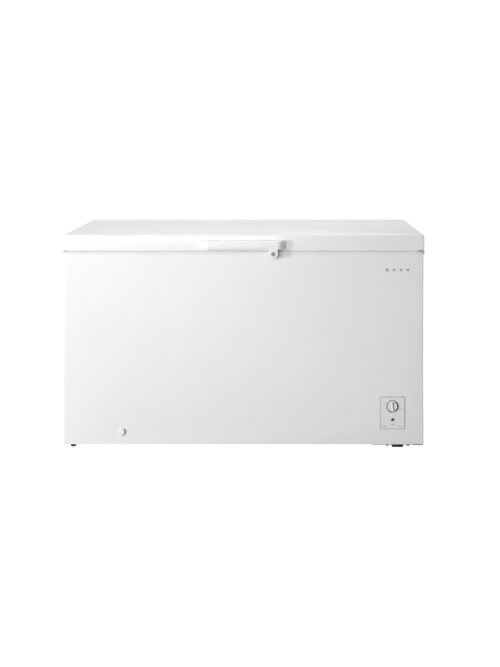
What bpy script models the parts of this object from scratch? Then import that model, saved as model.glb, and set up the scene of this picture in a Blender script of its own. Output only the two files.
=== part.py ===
"""A chest freezer: cabinet, hinged lid with a locking handle, cooling circuit, drain and baskets.

Metres, +Z up, front towards -Y, origin on the floor under the middle of the overall box.
"""

import math

import bmesh
import bpy
from mathutils import Matrix, Vector

# Overall sizes
GAP = 0.0003  # air between two pieces that touch
WIDTH = 1.423  # cabinet, side to side
DEPTH = 0.620  # cabinet, front to back
HEIGHT = 0.850  # floor to lid top
HANDLE_OUT = 0.038  # handle face in front of the cabinet
HINGE_OUT = 0.0215  # hinge covers behind the cabinet
FRONT = (HINGE_OUT - HANDLE_OUT) * -0.5 - DEPTH / 2
BACK = FRONT + DEPTH
HALF = WIDTH / 2

# Cabinet
SHEET = 0.001
FOOT = 0.023
CORNER = 0.014
LID_TALL = 0.060
SEAL = 0.006
FRAME_TALL = 0.0095
LID_Z = HEIGHT - LID_TALL
FRAME_TOP = LID_Z - SEAL
FRAME_Z = FRAME_TOP - FRAME_TALL
FRAME_WALL = 0.0025
FRAME_PLATE = 0.003
FRAME_SIDE = 0.0060  # frame beyond the cabinet's sides
FRAME_FRONT = 0.0035
FRAME_BACK = 0.0035

# Storage well
WALL = 0.062
FLOOR = FOOT + 0.075
WELL_X = HALF - WALL
WELL_Y0 = FRONT + WALL
WELL_Y1 = BACK - WALL
WELL_R = 0.015
LEDGE_DROP = 0.032
LEDGE_Z = FRAME_TOP - LEDGE_DROP
LEDGE = 0.012

# Machine compartment, low on the right
ROOM_WIDE = 0.204
ROOM_X = HALF - ROOM_WIDE
ROOM_Z = FOOT + 0.227
STEP_X = ROOM_X - 0.058
STEP_Z = ROOM_Z + 0.055
PLATE = 0.0022
PLATE_Z = FOOT - GAP - PLATE

# Lid
LID_HALF = HALF + 0.0030
LID_FRONT = FRONT - 0.004
LID_R = 0.020
LID_ROUND = 0.007
LID_SHEET = 0.0012
LID_SKIN = 0.002
PLUG_IN = 0.015  # lid plug inside the frame's opening
PLUG_DROP = 0.018

# Handle and lock
GRIP_Z0 = LID_Z + 0.007
GRIP_Z1 = GRIP_Z0 + 0.032
GRIP_WIDE = 0.170
GRIP_FLAT = 0.146
GRIP_FACE = FRONT - HANDLE_OUT
LOCK_X = GRIP_FLAT - 0.028
LOCK_Z = FRAME_TOP - 0.005
TAB_R = 0.0185
TAB_BACK = FRONT - 0.011

# Hinges
HINGE_X = HALF - 0.260
PIVOT_Y = BACK + 0.0115
PIVOT_Z = LID_Z + 0.007
PIN_R = 0.003
RUN = 0.0001  # running clearance of the pins
KNUCKLE_R = 0.0055
EAR_X = 0.0200
EAR_T = 0.0025

# Front fittings
PANEL_X = HALF - 0.1230
PANEL_Z = FOOT + 0.1240
PANEL_W = 0.097
PANEL_H = 0.1265
PANEL_T = 0.002
DIAL_Z = PANEL_Z + 0.0260
DIAL_R = 0.018
LIGHT_Z = PANEL_Z - 0.0260
DRAIN_X = -HALF + 0.2319
DRAIN_Z = FOOT + 0.050
DRAIN_Y = WELL_Y0 + 0.038
DRAIN_END = DRAIN_Y + 0.013
DRAIN_R = 0.011
DRAIN_BORE = 0.0085
DRAIN_NARROW = 0.0006  # upright leg of the drain tube, slimmer than its level leg

# Baskets
BASKET_LONG = 0.295
BASKET_TALL = 0.200
BASKET_BAR = 0.0036
BASKET_SIDE = 0.006
BASKET_END = 0.008
RIM = 0.004

# Cooling circuit
EVAP_R = 0.003
EVAP_LOW, EVAP_HIGH = STEP_Z + 0.035, LEDGE_Z - 0.062
EVAP_LEVELS = [EVAP_LOW + (EVAP_HIGH - EVAP_LOW) * k / 5 for k in range(6)]
COND_R = 0.0025
COND_LOW, COND_HIGH = STEP_Z + 0.010, LEDGE_Z - 0.092
COND_LEVELS = [COND_LOW + (COND_HIGH - COND_LOW) * k / 3 for k in range(4)]
COMP_X = HALF - 0.103
COMP_Y = BACK - 0.21825
COMP_RX = 0.062
COMP_RY = 0.0744

for old in list(bpy.data.objects):
    bpy.data.objects.remove(old, do_unlink=True)

FREEZER = bpy.data.collections.new("chest_freezer")
CUTTERS = bpy.data.collections.new("cutters")
for group in (FREEZER, CUTTERS):
    bpy.context.scene.collection.children.link(group)
CUTTERS.hide_render = True


def material(name, colour, roughness, metallic=0.0):
    mat = bpy.data.materials.new(name)
    mat.use_nodes = True
    shader = mat.node_tree.nodes["Principled BSDF"]
    shader.inputs["Base Color"].default_value = (*colour, 1.0)
    shader.inputs["Roughness"].default_value = roughness
    shader.inputs["Metallic"].default_value = metallic
    return mat


WHITE = (0.86, 0.86, 0.85)
TRIM = (0.80, 0.80, 0.80)
STEEL = (0.62, 0.63, 0.64)
COPPER = (0.72, 0.38, 0.24)
BLACK = (0.02, 0.02, 0.02)


# Shapes, each a closed bmesh


def circle(radius, a, b, n=24):
    steps = [2 * math.pi * k / n for k in range(n)]
    return [(a + radius * math.cos(t), b + radius * math.sin(t)) for t in steps]


def arc(a, b, radius, start, end, n=4):
    steps = [math.radians(start + (end - start) * k / n) for k in range(n + 1)]
    return [(a + radius * math.cos(t), b + radius * math.sin(t)) for t in steps]


def rounded(a0, b0, a1, b1, near, far=None, n=4):
    """A rectangle with one radius at its two b0 corners and another at its two b1 corners."""
    far = near if far is None else far
    return (
        arc(a0 + near, b0 + near, near, 180, 270, n)
        + arc(a1 - near, b0 + near, near, 270, 360, n)
        + arc(a1 - far, b1 - far, far, 0, 90, n)
        + arc(a0 + far, b1 - far, far, 90, 180, n)
    )


def place(axis, a, b, c):
    return {"X": (c, a, b), "Y": (a, c, b), "Z": (a, b, c)}[axis]


def prism(points, low, high, axis="Z", bm=None):
    """An outline swept along an axis; points are the two other coordinates in X, Y, Z order."""
    bm = bm or bmesh.new()
    ends = [[bm.verts.new(place(axis, a, b, c)) for a, b in points] for c in (low, high)]
    faces = [bm.faces.new(ends[0]), bm.faces.new(ends[1])]
    for k in range(len(points)):
        j = (k + 1) % len(points)
        faces.append(bm.faces.new((ends[0][k], ends[0][j], ends[1][j], ends[1][k])))
    bmesh.ops.recalc_face_normals(bm, faces=faces)
    return bm


def box(low, high, bm=None):
    corners = [(low[0], low[1]), (high[0], low[1]), (high[0], high[1]), (low[0], high[1])]
    return prism(corners, low[2], high[2], "Z", bm)


def boxes(pairs):
    bm = bmesh.new()
    for low, high in pairs:
        box(low, high, bm)
    return bm


def rod(radius, a, b, low, high, axis, n=24):
    return prism(circle(radius, a, b, n), low, high, axis)


def soften(bm, width, segments, keep):
    """Bevels the edges whose two ends both pass the test."""
    edges = [e for e in bm.edges if keep(e.verts[0].co) and keep(e.verts[1].co)]
    bmesh.ops.bevel(bm, geom=edges, offset=width, segments=segments, profile=0.5,
                    affect="EDGES", clamp_overlap=True)
    return bm


def lathe(profile, origin, axis, n=24, stretch=(1, 1)):
    """(radius, height) pairs turned about an axis through the origin, closed by two end faces."""
    bm = bmesh.new()
    rings = []
    for radius, height in profile:
        ring = circle(radius, 0, 0, n)
        points = [place(axis, a * stretch[0], b * stretch[1], height) for a, b in ring]
        rings.append([bm.verts.new(Vector(p) + Vector(origin)) for p in points])
    bm.faces.new(rings[0])
    bm.faces.new(rings[-1])
    for low, high in zip(rings, rings[1:]):
        for k in range(n):
            j = (k + 1) % n
            bm.faces.new((low[k], low[j], high[j], high[k]))
    bmesh.ops.recalc_face_normals(bm, faces=bm.faces)
    return bm


def bent(corners, radius, riser=None, n=2):
    """The corners of a pipe run as short arcs, with their own radius where an upright leg starts."""
    points = [Vector(c) for c in corners]
    path = [points[0]]
    for before, here, after in zip(points, points[1:], points[2:]):
        back, on = (before - here).normalized(), (after - here).normalized()
        turn = riser if riser and max(abs(back.z), abs(on.z)) > 0.9 else radius
        a, b = here + back * turn, here + on * turn
        for k in range(n + 1):
            t = k / n
            path.append(a * (1 - t) ** 2 + here * 2 * t * (1 - t) + b * t**2)
    return path + [points[-1]]


# Objects


def add(name, data, colour, roughness, metallic=0.0, pivot=None):
    obj = bpy.data.objects.new(name, data)
    data.materials.append(material(name, colour, roughness, metallic))
    FREEZER.objects.link(obj)
    if pivot:
        obj.parent = pivot
        obj.matrix_parent_inverse = Matrix.Translation(-pivot.location)
    return obj


def solid(name, bm, *look, pivot=None):
    mesh = bpy.data.meshes.new(name)
    bm.to_mesh(mesh)
    bm.free()
    return add(name, mesh, *look, pivot=pivot)


def pipe(name, path, radius, *look, resolution=1, pivot=None):
    curve = bpy.data.curves.new(name, "CURVE")
    curve.dimensions = "3D"
    curve.bevel_depth = radius
    curve.bevel_resolution = resolution
    curve.use_fill_caps = True
    spline = curve.splines.new("POLY")
    spline.points.add(len(path) - 1)
    for point, co in zip(spline.points, path):
        point.co = (*co, 1.0)
    return add(name, curve, *look, pivot=pivot)


def pivot_at(name, origin):
    empty = bpy.data.objects.new(name, None)
    empty.location = origin
    empty.empty_display_size = 0.05
    FREEZER.objects.link(empty)
    return empty


def boolean(obj, bm, operation="DIFFERENCE"):
    name = f"{obj.name}_tool_{len(obj.modifiers)}"
    mesh = bpy.data.meshes.new(name)
    bm.to_mesh(mesh)
    bm.free()
    tool = bpy.data.objects.new(name, mesh)
    tool.display_type = "WIRE"
    tool.hide_render = True
    CUTTERS.objects.link(tool)
    mod = obj.modifiers.new(operation.title(), "BOOLEAN")
    mod.operation = operation
    mod.solver = "EXACT"
    mod.object = tool
    return obj


def join(obj, bm):
    return boolean(obj, bm, "UNION")


# Storage well: the liner's inside grown by an amount, used for the liner and the foam


def well(grow, top):
    points = [
        (-WELL_X - grow, FLOOR - grow),
        (STEP_X + grow, FLOOR - grow),
        (STEP_X + grow, STEP_Z - grow),
        (WELL_X + grow, STEP_Z - grow),
        (WELL_X + grow, top),
        (-WELL_X - grow, top),
    ]
    bm = prism(points, WELL_Y0 - grow, WELL_Y1 + grow, "Y")
    edges = [e for e in bm.edges if not all(abs(v.co.z - top) < 1e-6 for v in e.verts)]
    bmesh.ops.bevel(bm, geom=edges, offset=WELL_R + grow, segments=3, profile=0.5,
                    affect="EDGES", clamp_overlap=True)
    return bm


def mouth(grow, low, top):
    edge = LEDGE + grow
    return prism(
        rounded(-WELL_X - edge, WELL_Y0 - edge, WELL_X + edge, WELL_Y1 + edge, WELL_R + edge),
        low, top,
    )


# Cabinet


def outer_wrapper():
    skin = SHEET
    top = FRAME_TOP - FRAME_PLATE - GAP
    inner_r = CORNER - skin
    outline = (
        [(-HALF, BACK)]
        + arc(-HALF + CORNER, FRONT + CORNER, CORNER, 180, 270)
        + arc(HALF - CORNER, FRONT + CORNER, CORNER, 270, 360)
        + [(HALF, BACK), (HALF - skin, BACK)]
        + arc(HALF - CORNER, FRONT + CORNER, inner_r, 360, 270)
        + arc(-HALF + CORNER, FRONT + CORNER, inner_r, 270, 180)
        + [(-HALF + skin, BACK)]
    )
    obj = solid("outer_wrapper", prism(outline, FOOT, top), WHITE, 0.35)
    holes = rod(0.0050, PANEL_X, DIAL_Z, FRONT - 0.01, FRONT + 0.01, "Y", 16)
    prism(circle(0.0042, PANEL_X, LIGHT_Z, 16), FRONT - 0.01, FRONT + 0.01, "Y", holes)
    prism(circle(DRAIN_R + 0.0003, DRAIN_X, DRAIN_Z, 16), FRONT - 0.01, FRONT + 0.01, "Y", holes)
    box((HALF - 0.01, VENT_Y0 + 0.010, VENT_Z0 + 0.010),
        (HALF + 0.01, VENT_Y1 - 0.010, VENT_Z1 - 0.010), holes)
    boolean(obj, holes)


VENT_Y0, VENT_Y1 = BACK - 0.35825, BACK - 0.12825
VENT_Z0, VENT_Z1 = FOOT + 0.039, ROOM_Z - 0.044


def side_vent_grille():
    low = (HALF + GAP, VENT_Y0, VENT_Z0)
    high = (HALF + GAP + 0.0024, VENT_Y1, VENT_Z1)
    obj = solid("side_vent_grille", box(low, high), TRIM, 0.5)
    count, bar = 9, 0.006
    pitch = (VENT_Z1 - VENT_Z0 - 0.024) / count
    slots = []
    for k in range(count):
        z = VENT_Z0 + 0.012 + pitch * (k + 0.5)
        slots.append(((HALF - 0.01, VENT_Y0 + 0.014, z - pitch / 2 + bar / 2),
                      (HALF + 0.01, VENT_Y1 - 0.014, z + pitch / 2 - bar / 2)))
    boolean(obj, boxes(slots))


COVER_X0, COVER_X1 = ROOM_X + 0.008, HALF - 0.010
COVER_Z0, COVER_Z1 = FOOT + 0.007, ROOM_Z - 0.008


def rear_panel():
    side = HALF - SHEET - GAP
    obj = solid("rear_panel", box((-side, BACK - SHEET, FOOT), (side, BACK, FRAME_Z - GAP)),
                STEEL, 0.45, 0.8)
    boolean(obj, box((COVER_X0 + 0.012, BACK - 0.01, COVER_Z0 + 0.012),
                     (COVER_X1 - 0.012, BACK + 0.01, COVER_Z1 - 0.012)))


GLAND_X, GLAND_Z = COVER_X0 + 0.030, COVER_Z0 + 0.030


def rear_machine_cover():
    obj = solid("rear_machine_cover",
                box((COVER_X0, BACK + GAP, COVER_Z0), (COVER_X1, BACK + GAP + 0.0012, COVER_Z1)),
                STEEL, 0.5, 0.8)
    slots = []
    for k in range(11):
        z = COVER_Z0 + 0.056 + 0.013 * k
        slots.append(((COVER_X0 + 0.022, BACK - 0.01, z), (COVER_X1 - 0.022, BACK + 0.01, z + 0.006)))
    boolean(obj, boxes(slots))
    boolean(obj, rod(0.0083, GLAND_X, GLAND_Z, BACK - 0.01, BACK + 0.01, "Y", 16))


def cord_gland():
    profile = [(0.008, -0.008), (0.008, 0.0018), (0.0115, 0.0018), (0.0115, 0.006), (0.009, 0.014)]
    solid("cord_gland", lathe(profile, (GLAND_X, BACK, GLAND_Z), "Y", 16), BLACK, 0.6)


def base_panel():
    inset = SHEET + GAP
    outline = rounded(-HALF + inset, FRONT + inset, ROOM_X - GAP, BACK - inset, 0.0127, 0.001, 3)
    solid("base_panel", prism(outline, FOOT, FOOT + SHEET), STEEL, 0.5, 0.8)


def machine_bulkhead():
    side = HALF - SHEET - GAP
    outline = [
        (ROOM_X, FOOT),
        (ROOM_X + SHEET, FOOT),
        (ROOM_X + SHEET, ROOM_Z - SHEET),
        (side, ROOM_Z - SHEET),
        (side, ROOM_Z),
        (ROOM_X, ROOM_Z),
    ]
    y0, y1 = FRONT + CORNER, BACK - SHEET - GAP
    obj = solid("machine_bulkhead", prism(outline, y0, y1, "Y"), STEEL, 0.5, 0.8)
    low, high = ROOM_Z - 0.01, ROOM_Z + 0.01
    holes = bmesh.new()
    for x, y, radius in (
        (EVAP_IN_X, EVAP_Y1, 0.0040),
        (EVAP_OUT_X, EVAP_Y1, 0.0040),
        (COND_X, COND_IN_Y, 0.0031),
        (COND_X, COND_OUT_Y, 0.0031),
        (BULB_X, BULB_Y, 0.0020),
    ):
        box((x - radius, y - radius, low), (x + radius, y + radius, high), holes)
    boolean(obj, holes)


def insulation_foam():
    inset = SHEET + GAP
    side = HALF - inset
    y0, y1 = FRONT + inset, BACK - inset
    top = FRAME_Z - SHEET - 2 * GAP
    obj = solid("insulation_foam",
                prism(rounded(-side, y0, side, y1, CORNER - inset, 0.001), FOOT + inset, top),
                (0.85, 0.78, 0.55), 0.9)
    grow = SHEET + GAP
    radius = DRAIN_R + GAP
    boolean(obj, rod(radius - DRAIN_NARROW, DRAIN_X, DRAIN_Y, DRAIN_Z - 0.001, FLOOR + 0.05, "Z", 16))
    boolean(obj, rod(radius, DRAIN_X, DRAIN_Z, FRONT - 0.05, DRAIN_END + GAP, "Y", 16))
    boolean(obj, well(grow, HEIGHT))
    boolean(obj, mouth(grow, LEDGE_Z - grow, HEIGHT))
    boolean(obj, box((ROOM_X - GAP, FRONT - 0.1, 0.0), (HALF + 0.1, BACK + 0.1, ROOM_Z + GAP)))
    boolean(obj, condenser_grooves(side, y0))
    boolean(obj, evaporator_grooves())
    boolean(obj, pipe_slots(side))


def condenser_grooves(side, y0):
    depth = 2 * COND_R + 2 * GAP
    half = COND_R + 2 * GAP
    x, y, end, turn = side - depth, y0 + depth, COND_OUT_Y + half, 0.009
    outline = [(-HALF - 0.01, end), (-HALF - 0.01, FRONT - 0.01), (HALF + 0.01, FRONT - 0.01),
               (HALF + 0.01, end), (x, end)]
    outline += arc(x - turn, y + turn, turn, 360, 270, 2) + arc(-x + turn, y + turn, turn, 270, 180, 2)
    outline += [(-x, end)]
    bm = bmesh.new()
    for z in COND_LEVELS:
        prism(outline, z - half, z + half, "Z", bm)
    return bm


def evaporator_grooves():
    depth = SHEET + 2 * EVAP_R + 3 * GAP
    half = EVAP_R + 2 * GAP
    x, y0, y1 = WELL_X + depth, WELL_Y0 - depth, WELL_Y1 + depth
    return boxes([((-x, y0, z - half), (x, y1, z + half)) for z in EVAP_LEVELS])


def pipe_slots(side):
    """Upright slots in the foam for the risers of both coils and for the thermostat bulb."""
    c, e = COND_R + 2 * GAP, EVAP_R + 2 * GAP
    deep_c, deep_e = 2 * COND_R + 2 * GAP, SHEET + 2 * EVAP_R + 3 * GAP
    low, tall = ROOM_Z - 0.02, COND_LEVELS[-1]
    reach, crown = EVAP_LEVELS[-1], EVAP_LEVELS
    return boxes([
        ((side - deep_c, COND_IN_Y - c, low), (side + 0.02, COND_IN_Y + c, tall)),
        ((side - deep_c, COND_OUT_Y - c, low), (side + 0.02, COND_OUT_Y + c, tall)),
        ((-side - 0.02, COND_IN_Y - c, COND_LEVELS[0]), (-side + deep_c, COND_IN_Y + c, tall)),
        ((EVAP_IN_X - e, WELL_Y1 - 0.02, low), (EVAP_IN_X + e, WELL_Y1 + deep_e, reach)),
        ((EVAP_OUT_X - e, WELL_Y1 - 0.02, low), (EVAP_OUT_X + e, WELL_Y1 + deep_e, reach)),
        ((WELL_X - 0.02, EVAP_TURN_Y - e, crown[0]), (WELL_X + deep_e, EVAP_TURN_Y + e, reach)),
        ((BULB_X - 0.002, BULB_Y - 0.002, low), (BULB_X + 0.002, BULB_Y + 0.01, BULB_TOP + 0.001)),
    ])


def inner_liner():
    skin = SHEET
    top = FRAME_Z - GAP
    obj = solid("inner_liner", well(skin, LEDGE_Z), (0.80, 0.81, 0.82), 0.4, 0.9)
    join(obj, mouth(skin, LEDGE_Z - skin, top - skin / 2))
    join(obj, mouth(skin + 0.014, top - skin, top))
    boolean(obj, well(0.0, HEIGHT))
    boolean(obj, mouth(0.0, LEDGE_Z, HEIGHT))
    boolean(obj, rod(DRAIN_R - DRAIN_NARROW + GAP, DRAIN_X, DRAIN_Y, 0.0, FLOOR + 0.05, "Z", 16))


def top_frame():
    side = HALF + FRAME_SIDE
    y0, y1 = FRONT - FRAME_FRONT, BACK + FRAME_BACK
    obj = solid("top_frame", prism(rounded(-side, y0, side, y1, 0.017, 0.005), FRAME_Z, FRAME_TOP),
                TRIM, 0.4)
    wall = FRAME_WALL
    pocket = rounded(-side + wall, y0 + wall, side - wall, y1 - wall, 0.0155, 0.003)
    boolean(obj, prism(pocket, FRAME_Z - 0.01, FRAME_TOP - FRAME_PLATE))
    join(obj, mouth(wall, FRAME_Z, FRAME_TOP))
    boolean(obj, mouth(0.0, FRAME_Z - 0.02, FRAME_TOP + 0.01))


# Cooling circuit and electrics

COND_X = HALF - SHEET - COND_R - GAP
COND_IN_Y, COND_OUT_Y = BACK - 0.11825, BACK - 0.05625
EVAP_X = WELL_X + SHEET + EVAP_R + GAP
EVAP_Y0 = WELL_Y0 - SHEET - EVAP_R - GAP
EVAP_Y1 = WELL_Y1 + SHEET + EVAP_R + GAP
EVAP_IN_X, EVAP_OUT_X, EVAP_TURN_Y = HALF - 0.135, HALF - 0.105, BACK - 0.13825
BULB_R = 0.0012
BULB_X, BULB_Y = HALF - 0.155, WELL_Y0 - SHEET - BULB_R - GAP
BULB_TOP = STEP_Z + 0.022
DRIER_X, DRIER_Y = HALF - 0.021, COND_OUT_Y
DRIER_Z0, DRIER_Z1 = FOOT + 0.072, FOOT + 0.152
LIFT = ROOM_Z - 0.030


def evaporator_coil():
    path = [(EVAP_IN_X, EVAP_Y1, LIFT)]
    ring = [(EVAP_IN_X, EVAP_Y1), (-EVAP_X, EVAP_Y1), (-EVAP_X, EVAP_Y0), (EVAP_X, EVAP_Y0),
            (EVAP_X, EVAP_TURN_Y)]
    for k, z in enumerate(EVAP_LEVELS):
        path += [(x, y, z) for x, y in (ring if k % 2 == 0 else ring[::-1])]
    path[-1] = (EVAP_OUT_X, EVAP_Y1, EVAP_LEVELS[-1])
    pipe("evaporator_coil", bent(clean_runs(path) + [(EVAP_OUT_X, EVAP_Y1, LIFT)], 0.010, 0.0047),
         EVAP_R, (0.75, 0.76, 0.78), 0.35, 1.0)


def condenser_coil():
    y0 = FRONT + SHEET + COND_R + GAP
    path = [(DRIER_X, COND_IN_Y, LIFT - 0.060), (DRIER_X, COND_IN_Y, LIFT - 0.020),
            (COND_X, COND_IN_Y, LIFT)]
    run = [(COND_X, COND_IN_Y), (COND_X, y0), (-COND_X, y0), (-COND_X, COND_IN_Y)]
    for k, z in enumerate(COND_LEVELS):
        path += [(x, y, z) for x, y in (run if k % 2 == 0 else run[::-1])]
    path[-1] = (COND_X, COND_OUT_Y, COND_LEVELS[-1])
    path += [(COND_X, COND_OUT_Y, LIFT), (DRIER_X, DRIER_Y, LIFT - 0.020),
             (DRIER_X, DRIER_Y, DRIER_Z1 + GAP)]
    pipe("condenser_coil", bent(clean_runs(path), 0.012, 0.0042), COND_R, (0.35, 0.34, 0.33), 0.5, 1.0)


def clean_runs(path):
    """Leaves out points in the middle of a straight run."""
    points = [Vector(p) for p in path]
    kept = [points[0]]
    for before, here, after in zip(points, points[1:], points[2:]):
        if (here - before).normalized().dot((after - here).normalized()) < 0.9999:
            kept.append(here)
    return kept + [points[-1]]


def compressor():
    x0, x1 = COMP_X - 0.070, COMP_X + 0.070
    y0, y1 = COMP_Y - 0.092, COMP_Y + 0.092
    z = FOOT + 0.0180
    profile = [(0.030, 0.001), (0.048, 0.004), (0.058, 0.018), (0.062, 0.040), (0.062, 0.095),
               (0.059, 0.118), (0.050, 0.140), (0.034, 0.154), (0.012, 0.160)]
    stretch = (1, COMP_RY / COMP_RX)
    obj = solid("compressor", lathe(profile, (COMP_X, COMP_Y, z), "Z", 20, stretch), BLACK, 0.35, 0.2)
    join(obj, prism(rounded(x0, y0, x1, y1, 0.012, 0.012, 2), z, z + 0.002))


def compressor_grommets():
    profile = [(0.010, 0.0), (0.011, 0.002), (0.011, 0.0165), (0.009, 0.0177)]
    for name, sx, sy in (("front_left", -1, -1), ("front_right", 1, -1),
                         ("rear_left", -1, 1), ("rear_right", 1, 1)):
        origin = (COMP_X + 0.056 * sx, COMP_Y + 0.078 * sy, FOOT)
        solid(f"grommet_{name}", lathe(profile, origin, "Z", 12), BLACK, 0.8)


def relay_cover():
    y = COMP_Y - COMP_RY - GAP
    bm = box((COMP_X - 0.024, y - 0.032, FOOT + 0.062), (COMP_X + 0.024, y, FOOT + 0.117))
    solid("relay_cover", soften(bm, 0.003, 2, lambda co: co.y < y - 0.01), (0.05, 0.05, 0.055), 0.6)


def compressor_plate():
    side = HALF - SHEET - GAP
    outline = rounded(ROOM_X, FRONT + SHEET + GAP, side, BACK - SHEET - GAP, 0.012, 0.002, 3)
    solid("compressor_plate", prism(outline, PLATE_Z, PLATE_Z + PLATE), STEEL, 0.5, 0.8)


def filter_drier():
    z0, z1 = DRIER_Z0, DRIER_Z1
    profile = [(0.003, z0), (0.008, z0 + 0.012), (0.008, z1 - 0.012), (0.003, z1)]
    solid("filter_drier", lathe(profile, (DRIER_X, DRIER_Y, 0), "Z", 16), COPPER, 0.3, 1.0)


def copper_lines():
    z = FOOT + 0.127
    y = COMP_Y + COMP_RY + 0.0018
    suction = [(EVAP_OUT_X, EVAP_Y1, LIFT - GAP), (EVAP_OUT_X, EVAP_Y1, z), (COMP_X - 0.002, y, z)]
    pipe("suction_line", bent(suction, 0.012), 0.0035, COPPER, 0.3, 1.0)
    x = COMP_X + COMP_RX + 0.0012
    start = (DRIER_X, COND_IN_Y, LIFT - 0.060 - GAP)
    z = FOOT + 0.117
    discharge = [(x, COMP_Y, z), (DRIER_X, COMP_Y, z), (DRIER_X, COND_IN_Y, z - 0.020), start]
    pipe("discharge_line", bent(discharge, 0.008), COND_R, COPPER, 0.3, 1.0)
    low = FOOT + 0.037
    capillary = [(DRIER_X, DRIER_Y, DRIER_Z0 - GAP), (DRIER_X, DRIER_Y, low),
                 (HALF - 0.150, DRIER_Y + 0.02, low), (EVAP_IN_X, EVAP_Y1, ROOM_Z - 0.130),
                 (EVAP_IN_X, EVAP_Y1, LIFT - GAP)]
    pipe("capillary_tube", bent(capillary, 0.012), 0.0013, COPPER, 0.3, 1.0)


THERMO_Y0, THERMO_Y1 = FRONT + SHEET + GAP, FRONT + 0.032


def thermostat():
    bm = box((PANEL_X - 0.024, THERMO_Y0, DIAL_Z - 0.022), (PANEL_X + 0.024, THERMO_Y1, DIAL_Z + 0.022))
    obj = solid("thermostat_body", bm, (0.75, 0.75, 0.72), 0.5)
    boolean(obj, rod(0.0045, PANEL_X, DIAL_Z, FRONT - 0.01, FRONT + 0.012, "Y", 16))
    path = [(PANEL_X - 0.015, THERMO_Y1 + GAP, DIAL_Z), (PANEL_X - 0.015, BULB_Y, DIAL_Z),
            (BULB_X, BULB_Y, DIAL_Z + 0.030), (BULB_X, BULB_Y, BULB_TOP)]
    pipe("thermostat_bulb", bent(path, 0.010), BULB_R, COPPER, 0.3, 1.0)


def wiring():
    y = COMP_Y - COMP_RY - 0.032 - 3 * GAP
    near, far = THERMO_Y1 + 0.34 * (y - THERMO_Y1), THERMO_Y1 + 0.61 * (y - THERMO_Y1)
    z = FOOT + 0.092
    front = [(PANEL_X + 0.012, THERMO_Y1 + GAP, DIAL_Z), (PANEL_X + 0.012, near, DIAL_Z),
             (COMP_X, far, z), (COMP_X, y, z)]
    pipe("wire_harness", bent(front, 0.015), 0.003, (0.10, 0.10, 0.11), 0.6)
    x, z = COMP_X - 0.024 - GAP, FOOT + 0.077
    lead = [(GLAND_X, BACK - 0.008 - GAP, GLAND_Z), (GLAND_X, BACK - 0.050, GLAND_Z),
            (ROOM_X + 0.014, BACK - 0.110, GLAND_Z), (ROOM_X + 0.014, COMP_Y - 0.085, z),
            (x, COMP_Y - 0.092, z)]
    pipe("supply_lead", bent(lead, 0.012), 0.003, BLACK, 0.6)


# Front fittings, drain and feet


def control_panel():
    y = FRONT - GAP
    x0, x1 = PANEL_X - PANEL_W / 2, PANEL_X + PANEL_W / 2
    z0, z1 = PANEL_Z - PANEL_H / 2, PANEL_Z + PANEL_H / 2
    bm = prism(rounded(x0, z0, x1, z1, 0.006, 0.006, 3), y - PANEL_T, y, "Y")
    bm = soften(bm, 0.0006, 1, lambda co: abs(co.y - y + PANEL_T) < 1e-6)
    obj = solid("control_panel", bm, (0.84, 0.84, 0.83), 0.4)
    holes = rod(0.0045, PANEL_X, DIAL_Z, y - 0.01, y + 0.01, "Y", 16)
    prism(circle(0.0040, PANEL_X, LIGHT_Z, 16), y - 0.01, y + 0.01, "Y", holes)
    boolean(obj, holes)


def power_light():
    y = FRONT - GAP - PANEL_T
    profile = [(0.0042, -0.0022), (0.0060, -0.0012), (0.0060, -GAP), (0.0037, -GAP), (0.0037, 0.014)]
    solid("power_light", lathe(profile, (PANEL_X, y, LIGHT_Z), "Y", 16), (0.02, 0.32, 0.20), 0.2)


def thermostat_dial():
    pivot = pivot_at("dial_pivot", (PANEL_X, FRONT, DIAL_Z))
    y = FRONT - 2 * GAP - PANEL_T
    profile = [(DIAL_R - 0.002, -0.0055), (DIAL_R, -0.0035), (DIAL_R, 0.0), (0.0040, 0.0), (0.0040, 0.010)]
    obj = solid("thermostat_dial", lathe(profile, (PANEL_X, y, DIAL_Z), "Y", 24), TRIM, 0.4, pivot=pivot)
    outline = rounded(PANEL_X - 0.0035, DIAL_Z - 0.0150, PANEL_X + 0.0035, DIAL_Z + 0.0150, 0.003, 0.003, 2)
    grip = prism(outline, y - 0.0105, y - 0.003, "Y")
    join(obj, soften(grip, 0.001, 1, lambda co: abs(co.y - y + 0.0105) < 1e-6))


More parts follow.
